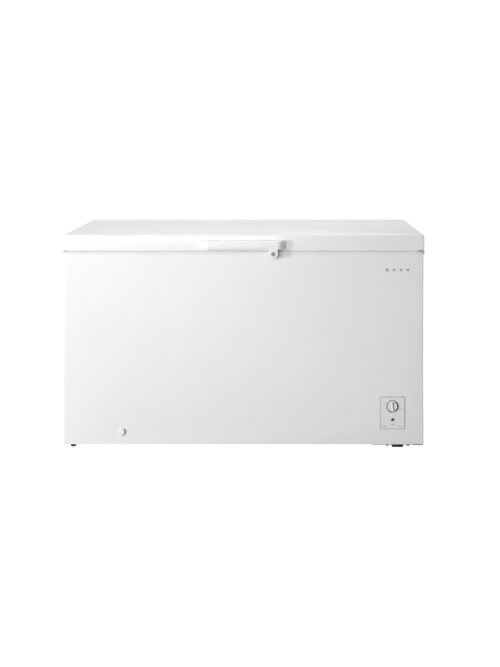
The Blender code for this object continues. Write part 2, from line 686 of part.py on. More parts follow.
def drain():
    lift = FLOOR - GAP / 2
    slim = DRAIN_R - DRAIN_NARROW
    obj = solid("drain_tube", rod(slim, DRAIN_X, DRAIN_Y, DRAIN_Z - 0.001, lift, "Z", 16), TRIM, 0.6)
    join(obj, rod(DRAIN_R, DRAIN_X, DRAIN_Z, FRONT, DRAIN_END, "Y", 16))
    boolean(obj, rod(DRAIN_BORE - DRAIN_NARROW, DRAIN_X, DRAIN_Y, DRAIN_Z - 0.001, lift + 0.01, "Z", 16))
    boolean(obj, rod(DRAIN_BORE, DRAIN_X, DRAIN_Z, FRONT - 0.01, DRAIN_END - 0.0025, "Y", 16))
    stub = DRAIN_BORE - 0.0005
    pull = pivot_at("drain_cap_pull", (DRAIN_X, FRONT, DRAIN_Z))
    profile = [(0.0136, -0.0040), (0.015, -0.0028), (0.015, -GAP), (stub, -GAP),
               (stub, 0.010), (stub - 0.002, 0.014)]
    solid("drain_cap", lathe(profile, (DRAIN_X, FRONT, DRAIN_Z), "Y", 24), TRIM, 0.4, pivot=pull)
    lift_pivot = pivot_at("drain_plug_lift", (DRAIN_X, DRAIN_Y, FLOOR))
    stub -= DRAIN_NARROW
    profile = [(stub - 0.002, -0.012), (stub, -0.009), (stub, GAP), (0.0165, GAP), (0.0165, 0.0025),
               (0.014, 0.0040), (0.006, 0.0045), (0.005, 0.0090)]
    solid("drain_plug", lathe(profile, (DRAIN_X, DRAIN_Y, FLOOR), "Z", 24), TRIM, 0.5, pivot=lift_pivot)


def feet():
    set_back = 0.051
    tall = FOOT - GAP
    for name, y in (("front", FRONT + set_back), ("rear", BACK - set_back)):
        profile = [(0.0070, 0.0), (0.0100, 0.0015), (0.0115, 0.005), (0.0115, tall)]
        solid(f"foot_{name}_left", lathe(profile, (-HALF + 0.0290, y, 0), "Z", 16), BLACK, 0.8)
        bm = box((HALF - 0.1208, y - 0.018, 0.0), (HALF - 0.0759, y + 0.018, PLATE_Z - GAP))
        bm = soften(bm, 0.004, 2, lambda co: co.z < 0.001)
        solid(f"foot_{name}_right", bm, BLACK, 0.8)


# Lid


def lid_block(inset, low, high):
    """The inside of the lid's pan grown inwards, with its top edges rounded."""
    outline = rounded(-LID_HALF + inset, LID_FRONT + inset, LID_HALF - inset, BACK - inset, LID_R - inset)
    bm = prism(outline, low, high)
    return soften(bm, LID_ROUND - inset, 3, lambda co: co.z > high - 1e-6)


def lid_plug(inset, low, high):
    edge = LEDGE - PLUG_IN - inset
    return prism(
        rounded(-WELL_X - edge, WELL_Y0 - edge, WELL_X + edge, WELL_Y1 + edge, 0.025 - inset), low, high
    )


def lid(pivot):
    skin = LID_SHEET
    obj = solid("lid_outer_panel", lid_block(0.0, LID_Z, HEIGHT), WHITE, 0.35, pivot=pivot)
    boolean(obj, lid_block(skin, LID_Z - 0.02, HEIGHT - skin))
    inset = skin + GAP
    plate = LID_Z + LID_SKIN
    bm = lid_block(inset, plate + GAP, HEIGHT - inset)
    obj = solid("lid_foam", bm, (0.85, 0.78, 0.55), 0.9, pivot=pivot)
    bottom = LID_Z - PLUG_DROP
    join(obj, lid_plug(LID_SKIN + GAP, bottom + LID_SKIN + GAP, plate + 0.01))
    outline = rounded(-LID_HALF + inset, LID_FRONT + inset, LID_HALF - inset, BACK - inset, LID_R - inset)
    obj = solid("lid_inner_panel", prism(outline, LID_Z, plate), (0.84, 0.84, 0.84), 0.5, pivot=pivot)
    join(obj, lid_plug(0.0, bottom, LID_Z + 0.001))
    boolean(obj, lid_plug(LID_SKIN, bottom + LID_SKIN, LID_Z + 0.02))


def lid_gasket(pivot):
    out, width = 0.0015, 0.0205
    ring = [(-HALF + out, FRONT + out), (HALF - out, BACK - out)]
    low, high = FRAME_TOP + GAP, LID_Z - GAP
    bm = prism(rounded(*ring[0], *ring[1], 0.030), low, high)
    obj = solid("lid_gasket", bm, (0.62, 0.62, 0.61), 0.7, pivot=pivot)
    hole = rounded(ring[0][0] + width, ring[0][1] + width, ring[1][0] - width, ring[1][1] - width, 0.014)
    boolean(obj, prism(hole, low - 0.01, high + 0.01))


def lid_handle(pivot):
    back = LID_FRONT - GAP
    plan = [(-GRIP_WIDE, back), (GRIP_WIDE, back), (GRIP_FLAT, GRIP_FACE), (-GRIP_FLAT, GRIP_FACE)]
    bm = prism(plan, GRIP_Z0, GRIP_Z1)
    bm = soften(bm, 0.004, 2, lambda co: co.y < back - 0.001 or co.z > GRIP_Z1 - 1e-6)
    obj = solid("lid_handle", bm, (0.83, 0.83, 0.83), 0.4, pivot=pivot)
    x0, x1, wall = -GRIP_WIDE + 0.018, LOCK_X - TAB_R - 0.004, 0.004
    pocket = [(x0, back - 0.003), (x1, back - 0.003), (x1, GRIP_FACE + wall),
              (x0 + 0.018, GRIP_FACE + wall)]
    boolean(obj, prism(pocket, GRIP_Z0 - 0.01, GRIP_Z1 - wall))
    face = GRIP_FACE + 0.0015
    tab = [(LOCK_X - TAB_R, GRIP_Z1 - 0.008)] + arc(LOCK_X, LOCK_Z, TAB_R, 180, 360, 10)
    tab += [(LOCK_X + TAB_R, GRIP_Z1 - 0.008)]
    join(obj, prism(tab, face, TAB_BACK, "Y"))
    boolean(obj, rod(0.0083, LOCK_X, LOCK_Z, face - 0.01, LID_FRONT - 0.001, "Y", 16))
    boolean(obj, rod(0.0091, LOCK_X, LOCK_Z, face - 0.01, face + 0.0013, "Y", 24))


def lock(lid_pivot):
    pivot = pivot_at("lock_pivot", (LOCK_X, TAB_BACK, LOCK_Z))
    pivot.parent = lid_pivot
    pivot.matrix_parent_inverse = Matrix.Translation(-lid_pivot.location)
    face = GRIP_FACE + 0.0015
    profile = [(0.0078, -0.0006), (0.0088, -0.0001), (0.0088, 0.0010), (0.0080, 0.0010),
               (0.0080, TAB_BACK - face + 0.0004), (0.0030, TAB_BACK - face + 0.0004),
               (0.0030, FRONT - 0.0078 - face)]
    bm = lathe(profile, (LOCK_X, face, LOCK_Z), "Y", 24)
    obj = solid("lock_cylinder", bm, STEEL, 0.35, 1.0, pivot=pivot)
    boolean(obj, box((LOCK_X - 0.0010, face - 0.01, LOCK_Z - 0.0045),
                     (LOCK_X + 0.0010, face + 0.006, LOCK_Z + 0.0045)))
    arm = [(LOCK_X - 0.003, LOCK_Z - 0.016), (LOCK_X + 0.003, LOCK_Z - 0.016)]
    plate = arm + arc(LOCK_X, LOCK_Z, 0.006, -60, 240, 12)
    obj = solid("lock_cam", prism(plate, FRONT - 0.0100, FRONT - 0.0080, "Y"), STEEL, 0.4, 1.0, pivot=pivot)
    boolean(obj, rod(0.0033, LOCK_X, LOCK_Z, FRONT - 0.02, FRONT, "Y", 24))


def lock_keeper():
    z = LOCK_Z
    side = [
        (FRONT - GAP, z - 0.0105),
        (FRONT - GAP, FRAME_Z - 0.001),
        (FRONT - 0.0040, FRAME_Z - 0.001),
        (FRONT - 0.0040, z + 0.0063),
        (FRONT - 0.0104, z + 0.0063),
        (FRONT - 0.0104, z + 0.0048),
        (FRONT - 0.0068, z + 0.0048),
        (FRONT - 0.0068, z - 0.0105),
    ]
    solid("lock_keeper", prism(side, LOCK_X - 0.0150, LOCK_X - 0.0075, "X"), STEEL, 0.4, 1.0)


def hinge(name, x, pivot):
    plate = 0.002
    low, high = PIVOT_Z - 0.132, FRAME_Z - 0.004
    ear_top = PIVOT_Z + 0.006
    side = [
        (BACK + GAP, low),
        (BACK + 0.012, low),
        (BACK + 0.0175, low + 0.035),
        (BACK + 0.0175, ear_top - 0.003),
        (BACK + 0.0145, ear_top),
        (BACK + 0.0085, ear_top),
        (BACK + 0.0048, ear_top - 0.004),
        (BACK + 0.0048, high),
        (BACK + GAP, high),
    ]
    obj = solid(f"hinge_base_{name}", prism(side, x - EAR_X, x + EAR_X, "X"), STEEL, 0.4, 0.9)
    boolean(obj, box((x - EAR_X + EAR_T, BACK + GAP + plate, low - 0.01),
                     (x + EAR_X - EAR_T, BACK + 0.03, ear_top + 0.01)))
    boolean(obj, rod(PIN_R + RUN, PIVOT_Y, PIVOT_Z, x - 0.03, x + 0.03, "X", 16))
    end = EAR_X + 0.0015
    solid(f"hinge_pin_{name}", rod(PIN_R, PIVOT_Y, PIVOT_Z, x - end, x + end, "X", 16), STEEL, 0.25, 1.0)
    turns, per = 4, 8
    path = []
    for k in range(turns * per + 1):
        t = 2 * math.pi * k / per
        radius = PIN_R + GAP + 0.0009
        path.append((x + 0.0035 + 0.0028 * k / per,
                     PIVOT_Y + radius * math.cos(t), PIVOT_Z + radius * math.sin(t)))
    pipe(f"hinge_spring_{name}", path, 0.0009, STEEL, 0.3, 1.0)
    cover(name, x, low - 0.008)
    reach = EAR_X - EAR_T - 0.0005
    bm = box((x - reach, BACK + GAP, PIVOT_Z + 0.003), (x + reach, BACK + 0.0028, PIVOT_Z + 0.043))
    leaf = solid(f"hinge_arm_{name}", bm, STEEL, 0.4, 0.9, pivot=pivot)
    join(leaf, rod(KNUCKLE_R, PIVOT_Y, PIVOT_Z, x - reach + 0.0002, x + 0.0012, "X", 16))
    join(leaf, box((x - reach + 0.0004, BACK + 0.0010, PIVOT_Z + 0.0032),
                   (x + 0.0010, PIVOT_Y - 0.0020, PIVOT_Z + 0.0052)))
    boolean(leaf, rod(PIN_R + RUN, PIVOT_Y, PIVOT_Z, x - 0.03, x + 0.03, "X", 16))


def cover(name, x, low):
    half, wall = 0.0265, 0.0015
    high = FRAME_TOP + 0.004
    bm = box((x - half, BACK + GAP, low), (x + half, BACK + HINGE_OUT, high))
    obj = solid(f"hinge_cover_{name}", bm, TRIM, 0.5)
    boolean(obj, box((x - half + wall, BACK - 0.01, low + wall),
                     (x + half - wall, BACK + HINGE_OUT - wall, high + 0.01)))
    boolean(obj, box((x - half - 0.01, BACK - 0.01, FRAME_Z - 0.001),
                     (x + half + 0.01, BACK + FRAME_BACK + 0.0005, high + 0.01)))


# Baskets


def basket(name, x0, low_x):
    """A hanging basket as a box of bars: walls and floor with rectangular windows."""
    x1 = x0 + BASKET_LONG
    y0, y1 = WELL_Y0 + BASKET_SIDE, WELL_Y1 - BASKET_SIDE
    top = LEDGE_Z + GAP + RIM
    low = top - BASKET_TALL
    bar = BASKET_BAR
    pivot = pivot_at(f"basket_{name}_slide", (low_x, (y0 + y1) / 2, LEDGE_Z))
    bm = box((x0, y0, low), (x1, y1, top - 0.0005))
    obj = solid(f"basket_{name}", bm, (0.82, 0.82, 0.81), 0.4, pivot=pivot)
    wing = BASKET_SIDE + LEDGE - 0.003
    join(obj, box((x0 + 0.012, y0 - wing, LEDGE_Z + GAP), (x1 - 0.012, y1 + wing, top)))
    boolean(obj, box((x0 + bar, y0 + bar, low + bar), (x1 - bar, y1 - bar, top + 0.02)))
    cols, rows = 3, 5
    dx, dy = (x1 - x0 - bar) / cols, (y1 - y0 - bar) / rows
    wx = [(x0 + bar + dx * k, x0 + dx * (k + 1)) for k in range(cols)]
    wy = [(y0 + bar + dy * k, y0 + dy * (k + 1)) for k in range(rows)]
    z0, z1 = low + 2 * bar, LEDGE_Z - 0.006
    boolean(obj, boxes([((a, y0 - 0.004, z0), (b, y1 + 0.004, z1)) for a, b in wx]))
    boolean(obj, boxes([((x0 - 0.004, a, z0), (x1 + 0.004, b, z1)) for a, b in wy]))
    boolean(obj, boxes([((a, c, low - 0.01), (b, d, low + 0.01)) for a, b in wx for c, d in wy]))


def build():
    outer_wrapper()
    side_vent_grille()
    rear_panel()
    rear_machine_cover()
    cord_gland()
    base_panel()
    machine_bulkhead()
    insulation_foam()
    inner_liner()
    top_frame()
    evaporator_coil()
    condenser_coil()
    compressor()
    compressor_grommets()
    relay_cover()
    compressor_plate()
    filter_drier()
    copper_lines()
    thermostat()
    wiring()
    control_panel()
    power_light()
    thermostat_dial()
    drain()
    feet()
    lid_pivot = pivot_at("lid_pivot", (0.0, PIVOT_Y, PIVOT_Z))
    lid(lid_pivot)
    lid_gasket(lid_pivot)
    lid_handle(lid_pivot)
    lock(lid_pivot)
    lock_keeper()
    hinge("left", -HINGE_X, lid_pivot)
    hinge("right", HINGE_X, lid_pivot)
    left = -WELL_X + BASKET_END
    basket("left", left, left)
    right = WELL_X - BASKET_END - BASKET_LONG
    basket("right", right, right + BASKET_LONG)


build()
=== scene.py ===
import math

import bmesh
import bpy
from mathutils import Matrix, Vector


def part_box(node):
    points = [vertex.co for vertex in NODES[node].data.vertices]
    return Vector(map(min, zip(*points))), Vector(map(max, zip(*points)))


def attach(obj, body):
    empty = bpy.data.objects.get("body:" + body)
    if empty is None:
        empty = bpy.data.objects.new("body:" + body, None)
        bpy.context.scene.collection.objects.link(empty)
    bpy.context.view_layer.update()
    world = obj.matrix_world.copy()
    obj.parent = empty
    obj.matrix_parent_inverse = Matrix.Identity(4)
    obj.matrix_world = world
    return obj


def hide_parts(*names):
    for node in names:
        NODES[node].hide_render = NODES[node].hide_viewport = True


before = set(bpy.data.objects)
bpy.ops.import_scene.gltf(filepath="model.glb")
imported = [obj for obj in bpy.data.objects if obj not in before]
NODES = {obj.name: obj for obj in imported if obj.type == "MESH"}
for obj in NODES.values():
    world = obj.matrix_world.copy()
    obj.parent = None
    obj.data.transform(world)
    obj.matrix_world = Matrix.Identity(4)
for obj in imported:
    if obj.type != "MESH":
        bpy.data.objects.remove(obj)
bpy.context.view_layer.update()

RIGHT = Vector((1, 0, 0))
BACKWARD = Vector((0, 1, 0))
UP = Vector((0, 0, 1))
AXES = {"X": RIGHT, "Y": BACKWARD, "Z": UP}

# Metres throughout
BACK_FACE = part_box("rear_panel")[1].y
FRONT_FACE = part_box("outer_wrapper")[0].y
SHEET_CORNER = 0.0045   # radius of the folded corners of the wrapper and the lid
SEAL_CORNER = 0.030
TAB_R = 0.0185          # round lower end of the lock tab
INK = 0.00012           # thickness of print
PAST = 0.01             # how far a cutter reaches past what it cuts
TOUCH = 1e-5            # two levels closer than this are one

# ---------------------------------------------------------------------------
# Mesh helpers
# ---------------------------------------------------------------------------


def block(low, high):
    """A box between two corners."""
    low, high = Vector(low), Vector(high)
    bm = bmesh.new()
    made = bmesh.ops.create_cube(bm, size=1.0)["verts"]
    bmesh.ops.scale(bm, vec=high - low, verts=made)
    bmesh.ops.translate(bm, vec=(low + high) / 2, verts=made)
    return bm


def along(edge, axis):
    """True for an edge that runs along an axis."""
    run = edge.verts[1].co - edge.verts[0].co
    return run.length > 1e-9 and abs(run.normalized().dot(AXES[axis])) > 0.999


def round_edges(bm, width, segments, keep):
    """Rounds the edges that a test keeps."""
    bmesh.ops.bevel(
        bm, geom=[e for e in bm.edges if keep(e)], offset=width, segments=segments,
        profile=0.5, material=-1, affect="EDGES", clamp_overlap=True,
    )
    return bm


def at_level(axis, value):
    """A test for edges that lie in one plane across an axis."""
    k = "XYZ".index(axis)
    return lambda e: all(abs(v.co[k] - value) < TOUCH for v in e.verts)


def plate(low, high, axis, radius, segments=8, lip=0.0, lip_segments=3, sides=(True, True)):
    """A box with round corners about one axis and softened rims."""
    bm = block(low, high)
    round_edges(bm, radius, segments, lambda e: along(e, axis))
    k = "XYZ".index(axis)
    for level, wanted in zip((low[k], high[k]), sides):
        if lip and wanted:
            round_edges(bm, lip, lip_segments, at_level(axis, level))
    return bm


def inset_plate(low, high, axis, inset, levels, radius, segments, lip=0.0):
    """A plate inside a box, in from its sides, that spans two levels of one axis."""
    k = "XYZ".index(axis)
    near, far = [value + inset for value in low], [value - inset for value in high]
    near[k], far[k] = levels
    return plate(near, far, axis, radius, segments, lip)


def middle_xz(box):
    """The middle of a box, seen from the front."""
    low, high = box
    return (low.x + high.x) / 2, (low.z + high.z) / 2


def turned(profile, origin, axis, steps):
    """A lathe piece: (radius, height) pairs turned about an axis through the origin."""
    bm = bmesh.new()
    across = BACKWARD if axis == "Z" else RIGHT
    up = AXES[axis]
    points = [Vector(origin) + across * r + up * h for r, h in profile]
    verts = [bm.verts.new(p) for p in points]
    edges = [bm.edges.new(pair) for pair in zip(verts, verts[1:])]
    bmesh.ops.spin(
        bm, geom=verts + edges, cent=origin, axis=up, angle=2 * math.pi,
        steps=steps, use_merge=True,
    )
    bmesh.ops.remove_doubles(bm, verts=bm.verts, dist=1e-6)
    bmesh.ops.holes_fill(bm, edges=bm.edges, sides=steps)
    return bm


def cylinder(radius, front, behind, centre, steps):
    """A round bar from front to back; centre gives its X and Z."""
    bm = bmesh.new()
    bmesh.ops.create_cone(
        bm, cap_ends=True, segments=steps, radius1=radius, radius2=radius, depth=behind - front,
    )
    place = Matrix.Translation((centre[0], (front + behind) / 2, centre[1]))
    return moved(bm, place @ Matrix.Rotation(math.pi / 2, 4, "X"))


def merge(*parts):
    """Several bmeshes as one."""
    whole = parts[0]
    for part in parts[1:]:
        mesh = bpy.data.meshes.new("part")
        part.to_mesh(mesh)
        part.free()
        whole.from_mesh(mesh)
        bpy.data.meshes.remove(mesh)
    return whole


def moved(bm, matrix):
    bmesh.ops.transform(bm, matrix=matrix, verts=bm.verts)
    return bm


def copies(bm, matrices):
    """One small shape set down at each place."""
    mesh = bpy.data.meshes.new("copy")
    bm.to_mesh(mesh)
    bm.free()
    whole = bmesh.new()
    for matrix in matrices:
        before = set(whole.verts)
        whole.from_mesh(mesh)
        fresh = [v for v in whole.verts if v not in before]
        bmesh.ops.transform(whole, matrix=matrix, verts=fresh)
    bpy.data.meshes.remove(mesh)
    return whole


def cut(bm, tool, operation="DIFFERENCE"):
    """Takes one closed shape out of another, or joins them."""
    objects = []
    for shape in (bm, tool):
        mesh = bpy.data.meshes.new("blank")
        bmesh.ops.recalc_face_normals(shape, faces=shape.faces)
        shape.to_mesh(mesh)
        shape.free()
        obj = bpy.data.objects.new("blank", mesh)
        bpy.context.scene.collection.objects.link(obj)
        objects.append(obj)
    mod = objects[0].modifiers.new("cut", "BOOLEAN")
    mod.operation, mod.solver, mod.object = operation, "EXACT", objects[1]
    graph = bpy.context.evaluated_depsgraph_get()
    result = bpy.data.meshes.new_from_object(objects[0].evaluated_get(graph))
    whole = bmesh.new()
    whole.from_mesh(result)
    for obj in objects:
        mesh = obj.data
        bpy.data.objects.remove(obj)
        bpy.data.meshes.remove(mesh)
    bpy.data.meshes.remove(result)
    return whole


def drilled(bm, radius, front, behind, centre, steps):
    """A shape with a round hole from front to back."""
    return cut(bm, cylinder(radius, front, behind, centre, steps))


def piece(name, bm, finish, body, node=None, angle=35, bevel=0.0, bevel_steps=2):
    """Turns a finished bmesh into a named piece that rides on a body."""
    bmesh.ops.remove_doubles(bm, verts=bm.verts, dist=1e-7)
    bmesh.ops.recalc_face_normals(bm, faces=bm.faces)
    mesh = bpy.data.meshes.new(name)
    bm.to_mesh(mesh)
    bm.free()
    mesh.polygons.foreach_set("use_smooth", [True] * len(mesh.polygons))
    mesh.set_sharp_from_angle(angle=math.radians(angle))
    mesh.materials.append(finish)
    obj = bpy.data.objects.new(name, mesh)
    bpy.context.scene.collection.objects.link(obj)
    if bevel:
        mod = obj.modifiers.new("soft edges", "BEVEL")
        mod.width, mod.segments, mod.limit_method = bevel, bevel_steps, "ANGLE"
        mod.angle_limit = math.radians(angle)
        mod.harden_normals = True
    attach(obj, body)
    if node:
        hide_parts(node)
    return obj


def wires(name, runs, radius, finish, body, node=None, closed=(), sides=2):
    """Round wire along lists of points, as one curve."""
    curve = bpy.data.curves.new(name, "CURVE")
    curve.dimensions, curve.bevel_depth, curve.bevel_resolution = "3D", radius, sides
    curve.use_fill_caps = True
    for k, run in enumerate(runs):
        spline = curve.splines.new("POLY")
        spline.points.add(len(run) - 1)
        for point, co in zip(spline.points, run):
            point.co = (*co, 1.0)
        spline.use_cyclic_u = k in closed
        spline.use_smooth = True
    blank = bpy.data.objects.new(name, curve)
    bpy.context.scene.collection.objects.link(blank)
    graph = bpy.context.evaluated_depsgraph_get()
    mesh = bpy.data.meshes.new_from_object(blank.evaluated_get(graph))
    bpy.data.objects.remove(blank)
    bpy.data.curves.remove(curve)
    bm = bmesh.new()
    bm.from_mesh(mesh)
    bpy.data.meshes.remove(mesh)
    return piece(name, bm, finish, body, node, angle=60)


def bend(corners, radius, steps=6, closed=False):
    """A run of points with its corners rounded."""
    points = [Vector(c) for c in corners]
    count = len(points)
    path = [] if closed else [points[0]]
    for k in range(count) if closed else range(1, count - 1):
        before, here, after = points[k - 1], points[k], points[(k + 1) % count]
        back, on = (before - here).normalized(), (after - here).normalized()
        a, b = here + back * radius, here + on * radius
        for i in range(steps + 1):
            t = i / steps
            path.append(a * (1 - t) ** 2 + here * 2 * t * (1 - t) + b * t * t)
    return path if closed else path + [points[-1]]


# ---------------------------------------------------------------------------
# Shader groups and finishes
# ---------------------------------------------------------------------------


def group(name, inputs, outputs):
    tree = bpy.data.node_groups.new(name, "ShaderNodeTree")
    for label, kind, value in inputs:
        socket = tree.interface.new_socket(label, in_out="INPUT", socket_type=f"NodeSocket{kind}")
        socket.default_value = value
    for label, kind in outputs:
        tree.interface.new_socket(label, in_out="OUTPUT", socket_type=f"NodeSocket{kind}")
    return tree, tree.nodes.new("NodeGroupInput"), tree.nodes.new("NodeGroupOutput")


def add_node(tree, kind, settings=None, **inputs):
    node = tree.nodes.new(f"ShaderNode{kind}")
    for key, value in (settings or {}).items():
        setattr(node, key, value)
    for key, value in inputs.items():
        socket = node.inputs[int(key[1:])] if key[0] == "i" and key[1:].isdigit() else node.inputs[key]
        if isinstance(value, bpy.types.NodeSocket):
            tree.links.new(value, socket)
        else:
            socket.default_value = value
    return node


def ramp(tree, value, stops):
    node = add_node(tree, "ValToRGB", i0=value)
    first, last = node.color_ramp.elements
    for element, (place, tone) in zip((first, last), (stops[0], stops[-1])):
        element.position, element.color = place, (*[tone] * 3, 1)
    for place, tone in stops[1:-1]:
        node.color_ramp.elements.new(place).color = (*[tone] * 3, 1)
    return node.outputs["Color"]


def grain_group():
    """Fine moulded grain or paint texture: a height for bump and a mask for roughness."""
    tree, given, out = group(
        "surface grain",
        [("Size", "Float", 900.0), ("Detail", "Float", 3.0), ("Coarse", "Float", 60.0)],
        [("Height", "Float"), ("Patches", "Float")],
    )
    where = add_node(tree, "TexCoord").outputs["Object"]
    fine = add_node(tree, "TexNoise", Vector=where, Scale=given.outputs["Size"],
                    Detail=given.outputs["Detail"])
    coarse = add_node(tree, "TexNoise", Vector=where, Scale=given.outputs["Coarse"], Detail=2.0)
    tree.links.new(fine.outputs[0], out.inputs["Height"])
    tree.links.new(coarse.outputs[0], out.inputs["Patches"])
    return tree


def scuff_group():
    """Light handling marks and dust: a mask that is stronger near the floor."""
    tree, given, out = group(
        "scuffs and dust", [("Amount", "Float", 0.3), ("Floor height", "Float", 0.12)], [("Mask", "Float")],
    )
    where = add_node(tree, "TexCoord").outputs["Object"]
    height = add_node(tree, "SeparateXYZ", i0=where).outputs["Z"]
    low = add_node(tree, "MapRange", Value=height, i1=given.outputs["Floor height"], i2=0.0)
    long = add_node(tree, "Mapping", i0=where, Scale=(14.0, 14.0, 60.0))
    streak = add_node(tree, "TexNoise", Vector=long.outputs[0], Scale=2.0, Detail=6.0, Roughness=0.65)
    marks = ramp(tree, streak.outputs[0], [(0.55, 0.0), (0.72, 1.0)])
    spread = add_node(tree, "Math", {"operation": "MULTIPLY_ADD"}, i0=low.outputs[0], i1=0.7, i2=0.3)
    worn = add_node(tree, "Math", {"operation": "MULTIPLY"}, i0=marks, i1=spread.outputs[0])
    mask = add_node(tree, "Math", {"operation": "MULTIPLY", "use_clamp": True},
                    i0=worn.outputs[0], i1=given.outputs["Amount"])
    tree.links.new(mask.outputs[0], out.inputs["Mask"])
    return tree


def spangle_group():
    """Zinc crystals: a tone for each crystal and the ridge height between them."""
    tree, given, out = group(
        "zinc spangle", [("Size", "Float", 120.0)], [("Tone", "Float"), ("Height", "Float")],
    )
    where = add_node(tree, "TexCoord").outputs["Object"]
    wander = add_node(tree, "TexNoise", Vector=where, Scale=40.0, Detail=2.0)
    bent = add_node(tree, "MixRGB", {"blend_type": "LINEAR_LIGHT"}, i0=0.02, i1=where, i2=wander.outputs[1])
    cells = add_node(tree, "TexVoronoi", Vector=bent.outputs[0], Scale=given.outputs["Size"])
    tone = add_node(tree, "SeparateXYZ", i0=cells.outputs["Color"]).outputs["X"]
    tree.links.new(tone, out.inputs["Tone"])
    tree.links.new(cells.outputs["Distance"], out.inputs["Height"])
    return tree


GRAIN, SCUFFS, SPANGLE = grain_group(), scuff_group(), spangle_group()


def use(tree, shared, **inputs):
    node = tree.nodes.new("ShaderNodeGroup")
    node.node_tree = shared
    for key, value in inputs.items():
        node.inputs[key.replace("_", " ")].default_value = value
    return node


def base_finish(name, colour, roughness, metallic=0.0, coat=0.0, specular=0.5):
    mat = bpy.data.materials.new(name)
    mat.use_nodes = True
    shader = mat.node_tree.nodes["Principled BSDF"]
    shader.inputs["Base Color"].default_value = (*colour, 1)
    shader.inputs["Roughness"].default_value = roughness
    shader.inputs["Metallic"].default_value = metallic
    shader.inputs["Coat Weight"].default_value = coat
    shader.inputs["Coat Roughness"].default_value = 0.12
    shader.inputs["Specular IOR Level"].default_value = specular
    return mat, mat.node_tree, shader


def blend_colours(tree, factor, first, second):
    return add_node(tree, "MixRGB", i0=factor, i1=(*first, 1), i2=(*second, 1)).outputs[0]


def spread_value(tree, value, low, high):
    return add_node(tree, "MapRange", i0=value, i3=low, i4=high).outputs[0]


def scuffed(tree, shader, amount, clean, marked):
    """Feeds the base colour, which turns to a second one where it is marked; gives the mask."""
    marks = use(tree, SCUFFS, Amount=amount).outputs[0]
    worn = add_node(tree, "MixRGB", i0=marks, i1=clean, i2=(*marked, 1))
    tree.links.new(worn.outputs[0], shader.inputs["Base Color"])
    return marks


def bump(tree, shader, height, strength, distance):
    node = add_node(tree, "Bump", Height=height, Strength=strength, Distance=distance)
    tree.links.new(node.outputs[0], shader.inputs["Normal"])


def painted(name, colour, roughness, peel=0.25, scuffs=0.25, coat=0.25):
    """Baked enamel on sheet steel: orange peel, faint tone drift and light scuffs."""
    mat, tree, shader = base_finish(name, colour, roughness, coat=coat)
    grain = use(tree, GRAIN, Size=420.0, Detail=2.0, Coarse=3.0)
    drift = blend_colours(tree, grain.outputs["Patches"], [c * 0.985 for c in colour], colour)
    dull = [c * k for c, k in zip(colour, (0.86, 0.85, 0.82))]
    marks = scuffed(tree, shader, scuffs, drift, dull)
    rough = add_node(tree, "Math", {"operation": "MULTIPLY_ADD"}, i0=marks, i1=0.25,
                     i2=spread_value(tree, grain.outputs["Patches"], roughness - 0.03, roughness + 0.03))
    tree.links.new(rough.outputs[0], shader.inputs["Roughness"])
    bump(tree, shader, grain.outputs["Height"], peel, 0.0002)
    return mat


def moulded(name, colour, roughness, size=1500.0, strength=0.25, scuffs=0.2, shade=0.94):
    """Moulded plastic with a fine spark grain."""
    mat, tree, shader = base_finish(name, colour, roughness)
    grain = use(tree, GRAIN, Size=size, Detail=3.0, Coarse=18.0)
    tone = blend_colours(tree, grain.outputs["Patches"], [c * shade for c in colour], colour)
    scuffed(tree, shader, scuffs, tone, [c * 0.82 for c in colour])
    tree.links.new(spread_value(tree, grain.outputs["Height"], roughness - 0.06, roughness + 0.06),
                   shader.inputs["Roughness"])
    bump(tree, shader, grain.outputs["Height"], strength, 0.0001)
    return mat


def galvanised(name):
    mat, tree, shader = base_finish(name, (0.58, 0.60, 0.62), 0.42, metallic=0.9)
    cells = use(tree, SPANGLE, Size=70.0)
    tone = blend_colours(tree, cells.outputs["Tone"], (0.46, 0.48, 0.50), (0.66, 0.68, 0.70))
    scuffed(tree, shader, 0.5, tone, (0.36, 0.35, 0.33))
    tree.links.new(spread_value(tree, cells.outputs["Tone"], 0.34, 0.52), shader.inputs["Roughness"])
    bump(tree, shader, cells.outputs["Height"], 0.12, 0.0002)
    return mat


def stucco_metal(name):
    """Embossed aluminium sheet of the storage well."""
    mat, tree, shader = base_finish(name, (0.82, 0.83, 0.84), 0.34, metallic=0.85)
    where = add_node(tree, "TexCoord").outputs["Object"]
    wander = add_node(tree, "TexNoise", Vector=where, Scale=90.0, Detail=1.0)
    bent = add_node(tree, "MixRGB", {"blend_type": "LINEAR_LIGHT"}, i0=0.012, i1=where, i2=wander.outputs[1])
    cells = add_node(tree, "TexVoronoi", {"feature": "SMOOTH_F1"}, Vector=bent.outputs[0], Scale=210.0)
    tone = blend_colours(tree, cells.outputs["Distance"], (0.76, 0.77, 0.78), (0.88, 0.89, 0.90))
    tree.links.new(tone, shader.inputs["Base Color"])
    tree.links.new(spread_value(tree, cells.outputs["Distance"], 0.28, 0.44), shader.inputs["Roughness"])
    bump(tree, shader, cells.outputs["Distance"], 0.6, 0.0008)
    return mat


def rubber(name, colour, dusty=0.9):
    mat, tree, shader = base_finish(name, colour, 0.72, specular=0.3)
    grain = use(tree, GRAIN, Size=1200.0, Detail=4.0, Coarse=45.0)
    scuffed(tree, shader, dusty, (*colour, 1), (0.22, 0.21, 0.19))
    tree.links.new(spread_value(tree, grain.outputs["Patches"], 0.6, 0.85), shader.inputs["Roughness"])
    bump(tree, shader, grain.outputs["Height"], 0.35, 0.0002)
    return mat


